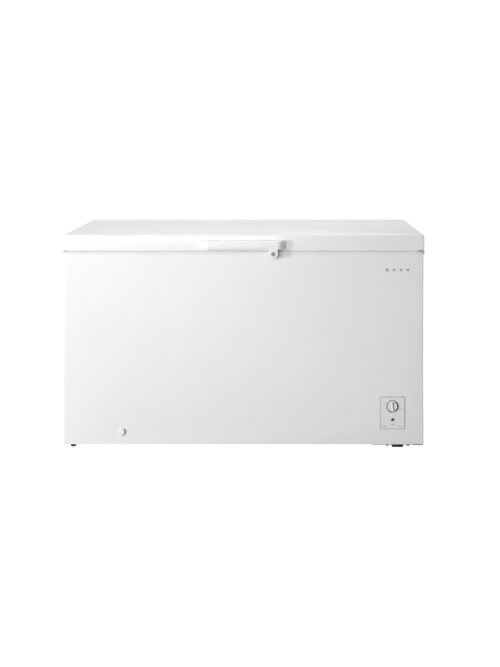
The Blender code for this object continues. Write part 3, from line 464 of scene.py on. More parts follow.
def bare_metal(name, colour, dark, roughness, size=35.0, stretch=(1, 1, 1)):
    """Metal with a drawn or tarnished tone."""
    mat, tree, shader = base_finish(name, colour, roughness, metallic=1.0)
    where = add_node(tree, "TexCoord").outputs["Object"]
    mapped = add_node(tree, "Mapping", i0=where, Scale=stretch)
    blotch = add_node(tree, "TexNoise", Vector=mapped.outputs[0], Scale=size, Detail=6.0, Roughness=0.6)
    mask = ramp(tree, blotch.outputs[0], [(0.38, 0.0), (0.66, 1.0)])
    tree.links.new(blend_colours(tree, mask, colour, dark), shader.inputs["Base Color"])
    tree.links.new(spread_value(tree, blotch.outputs[0], roughness - 0.1, roughness + 0.14),
                   shader.inputs["Roughness"])
    bump(tree, shader, blotch.outputs[0], 0.08, 0.0003)
    return mat


def foam_finish(name):
    mat, tree, shader = base_finish(name, (0.83, 0.74, 0.50), 0.9, specular=0.2)
    where = add_node(tree, "TexCoord").outputs["Object"]
    cells = add_node(tree, "TexVoronoi", Vector=where, Scale=320.0)
    tone = blend_colours(tree, cells.outputs["Distance"], (0.66, 0.55, 0.33), (0.88, 0.80, 0.56))
    tree.links.new(tone, shader.inputs["Base Color"])
    bump(tree, shader, cells.outputs["Distance"], 0.5, 0.001)
    return mat


def lens_finish(name):
    mat, tree, shader = base_finish(name, (0.003, 0.085, 0.045), 0.25, coat=0.1)
    where = add_node(tree, "TexCoord").outputs["Object"]
    facets = add_node(tree, "TexVoronoi", Vector=where, Scale=900.0)
    tone = blend_colours(tree, facets.outputs["Distance"], (0.002, 0.055, 0.030), (0.004, 0.11, 0.060))
    tree.links.new(tone, shader.inputs["Base Color"])
    return mat


def printed(name, colour):
    mat, tree, shader = base_finish(name, colour, 0.5)
    grain = use(tree, GRAIN, Size=2400.0, Detail=2.0, Coarse=300.0)
    tone = blend_colours(tree, grain.outputs["Patches"], [c * 0.88 for c in colour], colour)
    tree.links.new(tone, shader.inputs["Base Color"])
    return mat


WHITE_ENAMEL = painted("white enamel", (0.84, 0.84, 0.838), 0.36)
LID_ENAMEL = painted("lid enamel", (0.84, 0.84, 0.838), 0.34, scuffs=0.12)
FRAME_PLASTIC = moulded("frame plastic", (0.82, 0.82, 0.815), 0.42)
GRIP_PLASTIC = moulded("handle plastic", (0.86, 0.86, 0.855), 0.34, scuffs=0.1, shade=0.97)
PANEL_PLASTIC = moulded("panel plastic", (0.80, 0.80, 0.80), 0.40, scuffs=0.1, shade=0.97)
DIAL_PLASTIC = moulded("dial plastic", (0.83, 0.83, 0.83), 0.36, scuffs=0.1, shade=0.97)
LINER_PLASTIC = moulded("lid liner plastic", (0.84, 0.84, 0.83), 0.32, size=700.0, scuffs=0.1)
COVER_PLASTIC = moulded("cover plastic", (0.72, 0.72, 0.71), 0.5)
DARK_PLASTIC = moulded("dark plastic", (0.035, 0.035, 0.038), 0.5)
ZINC_SHEET = galvanised("zinc coated steel")
WELL_METAL = stucco_metal("embossed aluminium")
BLACK_RUBBER = rubber("black rubber", (0.010, 0.010, 0.010), dusty=0.3)
SEAL_VINYL = rubber("pale seal vinyl", (0.80, 0.80, 0.79))
COPPER = bare_metal("copper tube", (0.80, 0.42, 0.27), (0.38, 0.20, 0.13), 0.28)
DARK_TUBE = bare_metal("condenser tube", (0.20, 0.20, 0.20), (0.10, 0.09, 0.08), 0.45)
BRIGHT_TUBE = bare_metal("aluminium tube", (0.78, 0.79, 0.80), (0.60, 0.61, 0.62), 0.32)
SCREW_ZINC = bare_metal("zinc screw", (0.70, 0.70, 0.68), (0.48, 0.47, 0.44), 0.30, size=160.0)
LOCK_NICKEL = painted("satin lock metal", (0.34, 0.34, 0.345), 0.45, peel=0.1, scuffs=0.1, coat=0.0)
BOLT_BLACK = painted("black bolt", (0.02, 0.02, 0.02), 0.5, scuffs=0.5, coat=0.0)
SHELL_BLACK = painted("compressor enamel", (0.018, 0.018, 0.020), 0.32, peel=0.5, scuffs=0.8, coat=0.4)
FOAM = foam_finish("polyurethane foam")
GREEN_LENS = lens_finish("green lens")
COATED_WIRE = painted("coated wire", (0.85, 0.85, 0.84), 0.28, peel=0.15, scuffs=0.1, coat=0.5)
# Dark grey ink serves as print and also as painted shadow beside the dial's ridge and rim.
GREY_INK_AND_SHADOW = printed("grey ink", (0.16, 0.16, 0.165))
PALE_INK = printed("pale red ink", (0.50, 0.34, 0.35))
# Painted shade: a mid grey used for the shade lines round the dial and round the panel's edge.
SHADE_GREY_INK = printed("painted shade grey ink", (0.42, 0.42, 0.42))

# ---------------------------------------------------------------------------
# Screws, used in many places
# ---------------------------------------------------------------------------


def pan_screw(radius):
    """A pan head with a cross recess, head up along +Z, seat at zero."""
    head = turned([(0, radius * 0.62), (radius * 0.45, radius * 0.58), (radius * 0.82, radius * 0.38),
                   (radius, radius * 0.08), (radius, 0.0), (0, 0.0)], (0, 0, 0), "Z", 16)
    arm, reach, deep = radius * 0.16, radius * 0.55, radius * 0.25
    head = cut(head, block((-reach, -arm, deep), (reach, arm, radius)))
    return cut(head, block((-arm, -reach, deep), (arm, reach, radius)))


FACING = {
    "back": Matrix.Rotation(-math.pi / 2, 4, "X"),
    "right": Matrix.Rotation(math.pi / 2, 4, "Y"),
}


def screws(name, radius, places, facing, body):
    """Screws at the places given, each turned a little differently."""
    spots = [
        Matrix.Translation(p) @ FACING[facing] @ Matrix.Rotation(0.7 * k + 0.3, 4, "Z")
        for k, p in enumerate(places)
    ]
    return piece(name, copies(pan_screw(radius), spots), SCREW_ZINC, body, angle=50)


# ---------------------------------------------------------------------------
# Cabinet
# ---------------------------------------------------------------------------


def cabinet_wrapper():
    """One thin sheet round the front and sides, with a hem turned in below and its holes."""
    low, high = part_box("outer_wrapper")
    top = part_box("top_frame")[0].z
    sheet, hem_width, lap = 0.001, 0.012, 0.012
    bm = block(low, (high.x, high.y, top))
    round_edges(bm, SHEET_CORNER, 6, lambda e: along(e, "Z") and e.verts[0].co.y < low.y + TOUCH)
    gone = [f for f in bm.faces if abs(f.normal.z) > 0.9 or f.normal.y > 0.9]
    bmesh.ops.delete(bm, geom=gone, context="FACES")
    hem = [e for e in bm.edges if e.is_boundary and at_level("Z", low.z)(e)]
    turned_in = bmesh.ops.extrude_edge_only(bm, edges=hem)["geom"]
    wide, deep = high.x, high.y - low.y
    for v in (v for v in turned_in if isinstance(v, bmesh.types.BMVert)):
        v.co.x *= (wide - hem_width) / wide
        v.co.y = high.y - (high.y - v.co.y) * (deep - hem_width) / deep
    bmesh.ops.recalc_face_normals(bm, faces=bm.faces)
    bmesh.ops.solidify(bm, geom=bm.faces, thickness=sheet)
    gl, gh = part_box("side_vent_grille")
    bm = cut(bm, block((high.x - 2 * PAST, gl.y + lap, gl.z + lap),
                       (high.x + 2 * PAST, gh.y - lap, gh.z - lap)))
    for node, radius in (("thermostat_dial", 0.005), ("power_light", 0.0042), ("drain_cap", 0.0113)):
        a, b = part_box(node)
        middle = (a + b) / 2
        bm = drilled(bm, radius, low.y - PAST, low.y + 2 * PAST, (middle.x, middle.z), 28)
    piece("cabinet_wrapper", bm, WHITE_ENAMEL, "cabinet", "outer_wrapper", angle=30)


def frame_collar():
    """The moulded frame between the wrapper and the lid, open over the well."""
    low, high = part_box("top_frame")
    well_low, well_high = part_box("inner_liner")
    bm = block(low, high)
    round_edges(bm, 0.017, 10, lambda e: along(e, "Z") and e.verts[0].co.y < 0)
    round_edges(bm, 0.005, 4, lambda e: along(e, "Z") and e.verts[0].co.y > high.y - 0.001)
    round_edges(bm, 0.0024, 4, at_level("Z", high.z))
    round_edges(bm, 0.0026, 4, at_level("Z", low.z))
    edge, corner = 0.015, 0.027
    mouth = inset_plate(well_low, well_high, "Z", edge, (low.z - PAST, high.z + PAST), corner, 10)
    piece("frame_collar", cut(bm, mouth), FRAME_PLASTIC, "cabinet", "top_frame", bevel=0.0008)


def back_sheet():
    """The zinc-coated back with three pressed swages and its screws."""
    low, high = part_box("rear_panel")
    cl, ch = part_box("rear_machine_cover")
    lap = 0.012
    hole = block((cl.x + lap, low.y - PAST, cl.z + lap), (ch.x - lap, high.y + PAST, ch.z - lap))
    piece("back_sheet", cut(block(low, high), hole), ZINC_SHEET, "cabinet", "rear_panel")
    half_long, half_tall, root, rise = 0.60, 0.011, 0.004, 0.0022
    swages = []
    for z in (0.33, 0.45, 0.57):
        bar = plate((-half_long, high.y - root, z - half_tall), (half_long, high.y + rise, z + half_tall),
                    "Y", half_tall - 0.0001, 8)
        swages.append(round_edges(bar, 0.0020, 3, at_level("Y", high.y + rise)))
    piece("back_swages", merge(*swages), ZINC_SHEET, "cabinet")
    rim = 0.014
    columns = (low.x + rim, -0.35, 0.0, 0.35, high.x - rim)
    spots = [(x, high.y, z) for x in columns for z in (0.40, 0.755)]
    spots += [(x, high.y, 0.038) for x in columns[:-1]]
    screws("back_screws", 0.0038, spots, "back", "cabinet")


def machine_cover():
    """The slotted cover of the machine space, its screws and the gland for the lead."""
    low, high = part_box("rear_machine_cover")
    margin, first, pitch, tall = 0.022, 0.056, 0.013, 0.006
    bm = plate(low, high, "Y", 0.006, 4, 0.0004, 1, (False, True))
    slots = []
    for k in range(11):
        z = low.z + first + pitch * k
        slots.append(plate((low.x + margin, low.y - PAST, z), (high.x - margin, high.y + PAST, z + tall),
                           "Y", 0.00295, 5))
    bm = cut(bm, merge(*slots))
    gl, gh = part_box("cord_gland")
    middle = (gl + gh) / 2
    bm = drilled(bm, 0.0083, low.y - PAST, high.y + PAST, (middle.x, middle.z), 24)
    piece("machine_cover", bm, ZINC_SHEET, "cabinet", "rear_machine_cover")
    rim = 0.006
    levels = (low.z + rim, (low.z + high.z) / 2, high.z - rim)
    spots = [(x, high.y, z) for x in (low.x + rim, high.x - rim) for z in levels]
    screws("cover_screws", 0.0034, spots, "back", "cabinet")
    profile = [(0, -0.008), (0.008, -0.008), (0.008, 0.0018), (0.0115, 0.0018), (0.0115, 0.0058),
               (0.0105, 0.0068), (0.0098, 0.0085), (0.0090, 0.0086), (0.0088, 0.0102), (0.0081, 0.0103),
               (0.0079, 0.0120), (0.0072, 0.0140), (0.0040, 0.0140), (0.0038, 0.0060), (0, 0.0060)]
    gland = turned(profile, (middle.x, BACK_FACE, middle.z), "Y", 28)
    piece("cord_entry_gland", gland, DARK_PLASTIC, "cabinet", "cord_gland", angle=45)


def side_grille():
    """Vent of the machine space: a rim, slanting louvres and two stays."""
    low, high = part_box("side_vent_grille")
    ring, count, root = 0.012, 9, 0.0005
    rim = plate(low, high, "X", 0.008, 6, 0.0009, 2, (False, True))
    rim = cut(rim, inset_plate(low, high, "X", ring, (low.x - PAST, high.x + PAST), 0.004, 4))
    pitch = (high.z - low.z - 2 * ring) / count
    bars = []
    for k in range(count + 1):
        slat = block((-0.0011, low.y + ring - root, -0.0062), (0.0011, high.y - ring + root, 0.0062))
        round_edges(slat, 0.0009, 2, lambda e: along(e, "Y"))
        place = Matrix.Translation((low.x - 0.0035, 0, low.z + ring + pitch * k))
        bars.append(moved(slat, place @ Matrix.Rotation(math.radians(-38), 4, "Y")))
    for share in (0.33, 0.67):
        y = low.y + (high.y - low.y) * share
        bars.append(block((low.x - 0.006, y - 0.0012, low.z + ring),
                          (low.x + 0.0008, y + 0.0012, high.z - ring)))
    piece("grille_louvres", merge(rim, *bars), FRAME_PLASTIC, "cabinet", "side_vent_grille",
          angle=40)
    edge = 0.007
    spots = [(high.x, y, z) for y in (low.y + edge, high.y - edge) for z in (low.z + edge, high.z - edge)]
    screws("grille_screws", 0.0030, spots, "right", "cabinet")


def feet():
    """Round levelling feet on the left, grooved blocks under the machine space on the right."""
    for side in ("front", "rear"):
        low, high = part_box(f"foot_{side}_left")
        centre = ((low.x + high.x) / 2, (low.y + high.y) / 2, 0)
        profile = [(0, 0.0), (0.0090, 0.0), (0.0103, 0.0006), (0.0112, 0.0020), (0.0115, 0.0040),
                   (0.0115, 0.0120), (0.0104, 0.0128), (0.0104, 0.0150), (0.0115, 0.0158),
                   (0.0115, high.z - 0.0006), (0.0110, high.z), (0, high.z)]
        piece(f"levelling_foot_{side}", turned(profile, centre, "Z", 32), BLACK_RUBBER, "cabinet",
              f"foot_{side}_left", angle=50)
        low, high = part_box(f"foot_{side}_right")
        bm = block(low, high)
        round_edges(bm, 0.0025, 5, lambda e: along(e, "Z"))
        round_edges(bm, 0.0024, 4, at_level("Z", low.z))
        groove = inset_plate(low, high, "Z", -0.001, (0.0115, 0.0130), 0.004, 5)
        inner = inset_plate(low, high, "Z", 0.0008, (0.0110, 0.0135), 0.0035, 5)
        piece(f"block_foot_{side}", cut(bm, cut(groove, inner)), BLACK_RUBBER, "cabinet",
              f"foot_{side}_right", angle=40)


def underside():
    """The plate under the compressor with its bolts, and a black strip at the front right corner: painted
    shade where the rounded corner turns away from the light.
    """
    low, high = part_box("compressor_plate")
    outline = block(low, high)
    round_edges(outline, 0.012, 6,
                lambda e: along(e, "Z") and e.verts[0].co.y < 0 and e.verts[0].co.x > 0.6)
    piece("machine_base", outline, ZINC_SHEET, "cabinet", "compressor_plate",
          bevel=0.0004, bevel_steps=1)
    bolts = []
    across, tall, rim, drop = 0.0056, 0.0062, 0.014, 0.0045
    for y in (low.y + rim, high.y - rim):
        for x in (0.5690, 0.6515):
            head = bmesh.new()
            bmesh.ops.create_cone(head, cap_ends=True, segments=6, radius1=across, radius2=across, depth=tall)
            round_edges(head, 0.0005, 1, lambda e: not along(e, "Z"))
            washer = turned([(0, -0.0014), (0.0070, -0.0014), (0.0075, -0.0009), (0.0075, 0), (0, 0)],
                            (0, 0, 0), "Z", 20)
            bolts.append(moved(head, Matrix.Translation((x, y, low.z - drop))))
            bolts.append(moved(washer, Matrix.Translation((x, y, low.z))))
    piece("plate_bolts", merge(*bolts), BOLT_BLACK, "cabinet", angle=35)
    # Painted shade: a black strip set under the front right corner, where the rounded plate turns away from
    # the light.
    shade_strip = plate((high.x - 0.040, low.y + 0.0012, low.z - 0.0020), (high.x - 0.001, low.y + 0.022, low.z),
                "Z", 0.004, 4, 0.0006, 2, (True, False))
    piece("corner_shade_strip", shade_strip, BLACK_RUBBER, "cabinet")


# ---------------------------------------------------------------------------
# Control panel, dial, light, mark and drain
# ---------------------------------------------------------------------------


def ring_band(outer, inner, y0, y1, centre, offset):
    """A flat ring facing front; an offset inner circle makes it a crescent."""
    x, z = centre
    band = cylinder(outer, y0, y1, (x, z), 48)
    return drilled(band, inner, y0 - PAST, y1 + PAST, (x + offset[0], z + offset[1]), 48)


def control_face():
    """Panel plate with a shallow field, the print on it with painted shade round the dial, and painted shade
    round its edge: a grey line on the rim and a dark ring behind it.
    """
    low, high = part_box("control_panel")
    dial_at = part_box("thermostat_dial")
    light_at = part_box("power_light")
    dx, dz = middle_xz(dial_at)
    lx, lz = middle_xz(light_at)
    rim, sunk = 0.0034, 0.0005
    bm = plate(low, high, "Y", 0.007, 6, 0.0007, 3, (True, False))
    bm = cut(bm, inset_plate(low, high, "Y", rim, (low.y - PAST, low.y + sunk), 0.0045, 6))
    bm = drilled(bm, 0.0045, low.y - PAST, high.y + PAST, (dx, dz), 28)
    bm = drilled(bm, 0.0040, low.y - PAST, high.y + PAST, (lx, lz), 28)
    piece("control_face", bm, PANEL_PLASTIC, "cabinet", "control_panel", angle=30)
    y1 = low.y + sunk
    y0 = y1 - INK
    shade = ring_band(0.0252, 0.0212, y0, y1, (dx, dz), (0.0036, 0.0008))
    piece("dial_shade", shade, SHADE_GREY_INK, "cabinet", angle=30)
    y0, y1 = y0 - 0.00014, y0 - 0.00002
    # The dark ring is thicker on the right, where the knob casts its shadow: print with a painted shadow
    # there; the ticks are print.
    scale = ring_band(0.0242, 0.0212, y0, y1, (dx, dz), (-0.0022, 0.0006))
    scale = cut(scale, block((dx - 0.001, y0 - PAST, dz - 0.04), (dx + 0.012, y1 + PAST, dz - 0.012)))
    marks = []
    for k in range(8):
        turn = math.radians(238 - 42 * k)
        tick = block((0.0252, y0, -0.00045), (0.0280, y1, 0.00045))
        marks.append(moved(tick, Matrix.Translation((dx, 0, dz)) @ Matrix.Rotation(-turn, 4, "Y")))
    piece("dial_scale_and_shadow", merge(scale, *marks), GREY_INK_AND_SHADOW, "cabinet", angle=30)
    bars = []
    for x, z, w, h in ((lx, lz - 0.0200, 0.012, 0.0020), (low.x + 0.018, low.z + 0.011, 0.016, 0.0022),
                       (dx + 0.0350, dz - 0.0115, 0.009, 0.0020),
                       (high.x - 0.020, low.z + 0.011, 0.012, 0.0016)):
        bars.append(plate((x - w / 2, y0, z - h / 2), (x + w / 2, y1, z + h / 2), "Y", h * 0.3, 3))
    piece("panel_captions", merge(*bars), PALE_INK, "cabinet", angle=30)
    # Painted shade: the grey line on the rim and the dark ring peeking out behind the panel stand for the
    # shadow gap round its edge.
    trims = ((0.0006, 0.0017, low.y - 0.00008, low.y + 0.00004, "panel_rim_shade_line", SHADE_GREY_INK),
             (-0.0007, 0.0012, high.y - 0.0008, high.y + 0.0002, "panel_gap_shade_ring", DARK_PLASTIC))
    for outside, inside, front, behind, name, finish in trims:
        outer = inset_plate(low, high, "Y", outside, (front, behind), 0.0066, 6)
        inner = inset_plate(low, high, "Y", inside, (front - PAST, behind + PAST), 0.0052, 6)
        piece(name, cut(outer, inner), finish, "cabinet", angle=30)


def dial():
    """Thermostat knob: a disc with a milled edge, a grip ridge and a trough beside it, its floor painted dark
    as the ridge's shadow.
    """
    x, z = middle_xz(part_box("thermostat_dial"))
    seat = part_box("control_panel")[0].y - 0.0003
    profile = [(0, -0.0050), (0.0128, -0.0052), (0.0146, -0.0060), (0.0160, -0.0062), (0.0173, -0.0056),
               (0.0180, -0.0042), (0.0180, -0.0006), (0.0176, 0.0), (0.0040, 0.0), (0.0040, 0.0100),
               (0, 0.0100)]
    disc = turned(profile, (x, seat, z), "Y", 64)
    notches, count, pitch_radius = [], 36, 0.01825
    for k in range(count):
        a = 2 * math.pi * k / count
        spot = (x + pitch_radius * math.cos(a), z + pitch_radius * math.sin(a))
        notches.append(cylinder(0.0007, seat - 2 * PAST, seat + 0.001, spot, 8))
    disc = cut(disc, merge(*notches))
    top = seat - 0.0102
    grip = block((x - 0.0036, top, z - 0.0160), (x + 0.0028, seat - 0.0040, z + 0.0160))
    for v in grip.verts:
        if v.co.y < seat - 0.008:
            v.co.x = x + (v.co.x - x) * 0.70
            v.co.z = z + (v.co.z - z) * 0.95
    round_edges(grip, 0.0018, 5, lambda e: abs((e.verts[0].co - e.verts[1].co).y) > 0.004)
    round_edges(grip, 0.0010, 4, at_level("Y", top))
    disc = cut(disc, grip, "UNION")
    trough = plate((x + 0.0030, seat - 2 * PAST, z - 0.0185), (x + 0.0060, seat - 0.0036, z + 0.0185),
                   "Y", 0.0010, 4)
    disc = cut(disc, trough)
    lean = (Matrix.Translation((x, 0, z)) @ Matrix.Rotation(math.radians(-10), 4, "Y")
            @ Matrix.Translation((-x, 0, -z)))
    piece("dial_knob", moved(disc, lean), DIAL_PLASTIC, "dial", "thermostat_dial", angle=30)
    # Painted shadow: the trough's dark grey floor stands for the shadow of the grip ridge.
    floor = plate((x + 0.0031, seat - 0.0039, z - 0.0170), (x + 0.0059, seat - 0.0034, z + 0.0170),
                  "Y", 0.0009, 4)
    piece("dial_ridge_shadow", moved(floor, lean), GREY_INK_AND_SHADOW, "dial")


def pilot_light():
    """A domed green lens in a thin ring."""
    x, z = middle_xz(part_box("power_light"))
    centre = (x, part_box("control_panel")[0].y, z)
    profile = [(0, -0.0022), (0.0020, -0.0021), (0.0036, -0.0017), (0.0056, -0.0011), (0.0061, -0.0003),
               (0.0037, -0.0003), (0.0036, 0.0140), (0, 0.0140)]
    piece("pilot_lens", turned(profile, centre, "Y", 32), GREEN_LENS, "cabinet", "power_light",
          angle=60)
    ring = [(0.0062, -0.0007), (0.0065, -0.0012), (0.0071, -0.0009), (0.0072, -0.0003), (0.0062, -0.0003),
            (0.0062, -0.0007)]
    piece("pilot_bezel", turned(ring, centre, "Y", 32), PANEL_PLASTIC, "cabinet", angle=60)


def snow_mark():
    """The common four-star sign for deep freezing: one large crystal and three small ones."""
    y1 = FRONT_FACE - 0.00002
    y0 = y1 - INK
    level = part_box("top_frame")[0].z - 0.0625
    parts = []
    for x, reach in ((0.5675, 0.0078), (0.5950, 0.0062), (0.6225, 0.0062), (0.6500, 0.0062)):
        for k in range(6):
            turn = Matrix.Translation((x, 0, level)) @ Matrix.Rotation(math.radians(60 * k + 30), 4, "Y")
            parts.append(moved(block((-0.0006, y0, 0.0), (0.0006, y1, reach)), turn))
            for sign in (-1, 1):
                twig = (turn @ Matrix.Translation((0, 0, reach * 0.55))
                        @ Matrix.Rotation(math.radians(55 * sign), 4, "Y"))
                parts.append(moved(block((-0.0004, y0, 0.0), (0.0004, y1, reach * 0.36)), twig))
    piece("snow_mark", merge(*parts), GREY_INK_AND_SHADOW, "cabinet", angle=30)


def drain_fittings():
    """The cap on the front, with a finger recess and a black washer showing only as a crescent on its right,
    a painted shadow of the cap, and the plug in the well's floor.
    """
    x, z = middle_xz(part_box("drain_cap"))
    centre = (x, FRONT_FACE, z)
    profile = [(0, -0.0042), (0.0060, -0.0042), (0.0132, -0.0041), (0.0145, -0.0038), (0.0150, -0.0031),
               (0.0150, -0.0022), (0.0146, -0.0014), (0.0142, -0.0004), (0.0080, -0.0003), (0.0080, 0.0020),
               (0.0084, 0.0026), (0.0080, 0.0032), (0.0080, 0.0070), (0.0084, 0.0076), (0.0080, 0.0082),
               (0.0076, 0.0110), (0.0060, 0.0140), (0, 0.0140)]
    cap = turned(profile, centre, "Y", 56)
    shift, place = (-0.0034, 0), Matrix.Translation(centre)
    recess = moved(ring_band(0.0141, 0.0134, -0.02, -0.0008, (0, 0), shift), place)
    piece("drain_cap_knob", cut(cap, recess), GRIP_PLASTIC, "drain_cap", "drain_cap",
          angle=40)
    # Painted shadow: the black washer is cut to a thin crescent on the cap's right, where the cap's shadow
    # falls.
    inner, outer, near, far = 0.0086, 0.0143, -0.00125, -0.00075
    washer = turned([(inner, near), (outer, near), (outer, far), (inner, far), (inner, near)],
                    centre, "Y", 56)
    crescent = moved(ring_band(0.0139, 0.0136, -0.02, 0.01, (0, 0), shift), place)
    washer = cut(washer, crescent, "INTERSECT")
    piece("drain_cap_shadow_crescent", washer, BLACK_RUBBER, "drain_cap", angle=40)
    low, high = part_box("drain_plug")
    centre = ((low.x + high.x) / 2, (low.y + high.y) / 2, high.z - 0.009)
    profile = [(0, -0.0118), (0.0052, -0.0118), (0.0070, -0.0095), (0.0074, -0.0060), (0.0070, -0.0050),
               (0.0074, -0.0040), (0.0074, 0.0003), (0.0160, 0.0003), (0.0165, 0.0009), (0.0160, 0.0024),
               (0.0140, 0.0036), (0.0070, 0.0042), (0.0055, 0.0052), (0.0050, 0.0080), (0.0044, 0.0090),
               (0, 0.0090)]
    piece("well_plug", turned(profile, centre, "Z", 40), FRAME_PLASTIC, "drain_plug", "drain_plug",
          angle=50)


# ---------------------------------------------------------------------------
# Lid
# ---------------------------------------------------------------------------


def lid_shell():
    """The lid's sheet, open below."""
    low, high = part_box("lid_outer_panel")
    bm = block(low, high)
    round_edges(bm, SHEET_CORNER, 6, lambda e: along(e, "Z"))
    round_edges(bm, 0.004, 6, at_level("Z", high.z))
    floor = [f for f in bm.faces if f.normal.z < -0.9]
    bmesh.ops.delete(bm, geom=floor, context="FACES")
    bmesh.ops.recalc_face_normals(bm, faces=bm.faces)
    bmesh.ops.solidify(bm, geom=bm.faces, thickness=0.0012)
    piece("lid_shell", bm, LID_ENAMEL, "lid", "lid_outer_panel", angle=30)


def lid_lining():
    """Vacuum-formed inner panel: flat rim, sloping plug and a pressed field with two ribs."""
    low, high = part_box("lid_inner_panel")
    level = high.z - 0.002
    bm = plate((low.x, low.y, level), (high.x, high.y, high.z), "Z", 0.0185, 8)
    wl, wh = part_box("inner_liner")
    edge, taper, inset, rib_half = 0.030, 0.001, 0.055, 0.006
    a = Vector((wl.x + edge, wl.y + edge, low.z))
    b = Vector((wh.x - edge, wh.y - edge, level + 0.001))
    plug = block(a, b)
    for v in plug.verts:
        if v.co.z < level:
            v.co.x *= 1 - taper / b.x
            v.co.y += taper if v.co.y < 0 else -taper
    round_edges(plug, 0.012, 8, lambda e: abs(e.verts[0].co.z - e.verts[1].co.z) > 0.01)
    round_edges(plug, 0.003, 4, at_level("Z", low.z))
    bm = cut(bm, plug, "UNION")
    bm = cut(bm, inset_plate(a, b, "Z", inset, (low.z - PAST, low.z + 0.0015), 0.030, 8))
    for x in (-0.21, 0.21):
        rib = plate((x - rib_half, a.y + inset + 0.01, low.z),
                    (x + rib_half, b.y - inset - 0.01, low.z + 0.0020),
                    "Z", 0.0058, 6, 0.0018, 3, (True, False))
        bm = cut(bm, rib, "UNION")
    piece("lid_lining", bm, LINER_PLASTIC, "lid", "lid_inner_panel",
          angle=40, bevel=0.0012, bevel_steps=3)


def lid_seal():
    """Push-in seal: a flat foot, a narrow neck and a soft tube that holds the magnet strip."""
    low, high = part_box("lid_gasket")
    mid = high.z - 0.0016
    rings = ((0.0000, 0.0180, mid, high.z, 0.0003), (0.0022, 0.0150, low.z + 0.0016, mid + 0.0002, 0.0),
             (0.0004, 0.0130, low.z, low.z + 0.0026, 0.0011))
    whole = None
    for outside, inside, z0, z1, soft in rings:
        outer = inset_plate(low, high, "Z", outside, (z0, z1), SEAL_CORNER, 10, soft)
        inner = inset_plate(low, high, "Z", inside, (z0 - PAST, z1 + PAST), SEAL_CORNER * 0.5, 8)
        ring = cut(outer, inner)
        whole = ring if whole is None else cut(whole, ring, "UNION")
    piece("lid_seal", whole, SEAL_VINYL, "lid", "lid_gasket", angle=40)


def handle():
    """The grip with its finger pocket and lock tab, and the key barrel in the tab."""
    low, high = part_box("lid_handle")
    lid_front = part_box("lid_outer_panel")[0].y
    z0, z1 = high.z - 0.032, high.z
    back, near_back = high.y, high.y - 0.01
    lx, lz = middle_xz(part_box("lock_cylinder"))
    bm = block((low.x, low.y, z0), (high.x, back, z1))
    for v in bm.verts:
        if v.co.y < near_back:
            v.co.x *= 0.146 / 0.170
    round_edges(bm, 0.010, 8, lambda e: along(e, "Z") and e.verts[0].co.y < near_back)
    for radius, steps, level in ((0.0042, 6, z1), (0.0030, 4, z0)):
        round_edges(bm, radius, steps,
                    lambda e: at_level("Z", level)(e) and not all(v.co.y > back - 1e-4 for v in e.verts))
    x0, x1, wall = -0.150, lx - TAB_R - 0.005, 0.004
    pocket = block((x0, low.y + wall, z0 - PAST), (x1, back - 0.003, z1 - wall))
    for v in pocket.verts:
        if v.co.y < near_back and v.co.x < 0:
            v.co.x += 0.018
    round_edges(pocket, 0.005, 5, lambda e: along(e, "Z"))
    round_edges(pocket, 0.003, 4, at_level("Z", z1 - wall))
    bm = cut(bm, pocket)
    face, behind, tab_top = low.y + 0.0004, FRONT_FACE - 0.011, z1 - 0.010
    tab = block((lx - TAB_R, face, lz - TAB_R), (lx + TAB_R, behind, tab_top))
    round_edges(tab, TAB_R * 0.98, 14, lambda e: along(e, "Y") and e.verts[0].co.z < lz)
    round_edges(tab, 0.0020, 4, lambda e: at_level("Y", face)(e) and not at_level("Z", tab_top)(e))
    bm = cut(bm, tab, "UNION")
    bm = drilled(bm, 0.0083, face - PAST, lid_front - 0.001, (lx, lz), 40)
    bm = drilled(bm, 0.0091, face - PAST, face + 0.0012, (lx, lz), 48)
    piece("lid_grip", bm, GRIP_PLASTIC, "lid", "lid_handle", angle=30)
    stem, tip = behind - face + 0.0004, FRONT_FACE - 0.0078 - face
    barrel = [(0, -0.0002), (0.0052, -0.0002), (0.0055, 0.0000), (0.0058, -0.0002), (0.0080, -0.0004),
              (0.0086, -0.0001), (0.0088, 0.0004), (0.0088, 0.0010), (0.0080, 0.0011), (0.0080, stem),
              (0.0030, stem), (0.0030, tip), (0, tip)]
    core = turned(barrel, (lx, face, lz), "Y", 48)
    for right, half, corner in ((0.0008, 0.0040, 0.0004), (0.0018, 0.0012, 0.0003)):
        keyway = plate((lx - 0.0008, face - PAST, lz - half), (lx + right, face + 0.005, lz + half),
                       "Y", corner, 2)
        core = cut(core, keyway)
    piece("lock_barrel", core, LOCK_NICKEL, "lock", "lock_cylinder", angle=40)


# ---------------------------------------------------------------------------
# Baskets
# ---------------------------------------------------------------------------


def rectangle(x0, y0, x1, y1, z):
    """The four corners of a level rectangle."""
    return [(x0, y0, z), (x1, y0, z), (x1, y1, z), (x0, y1, z)]


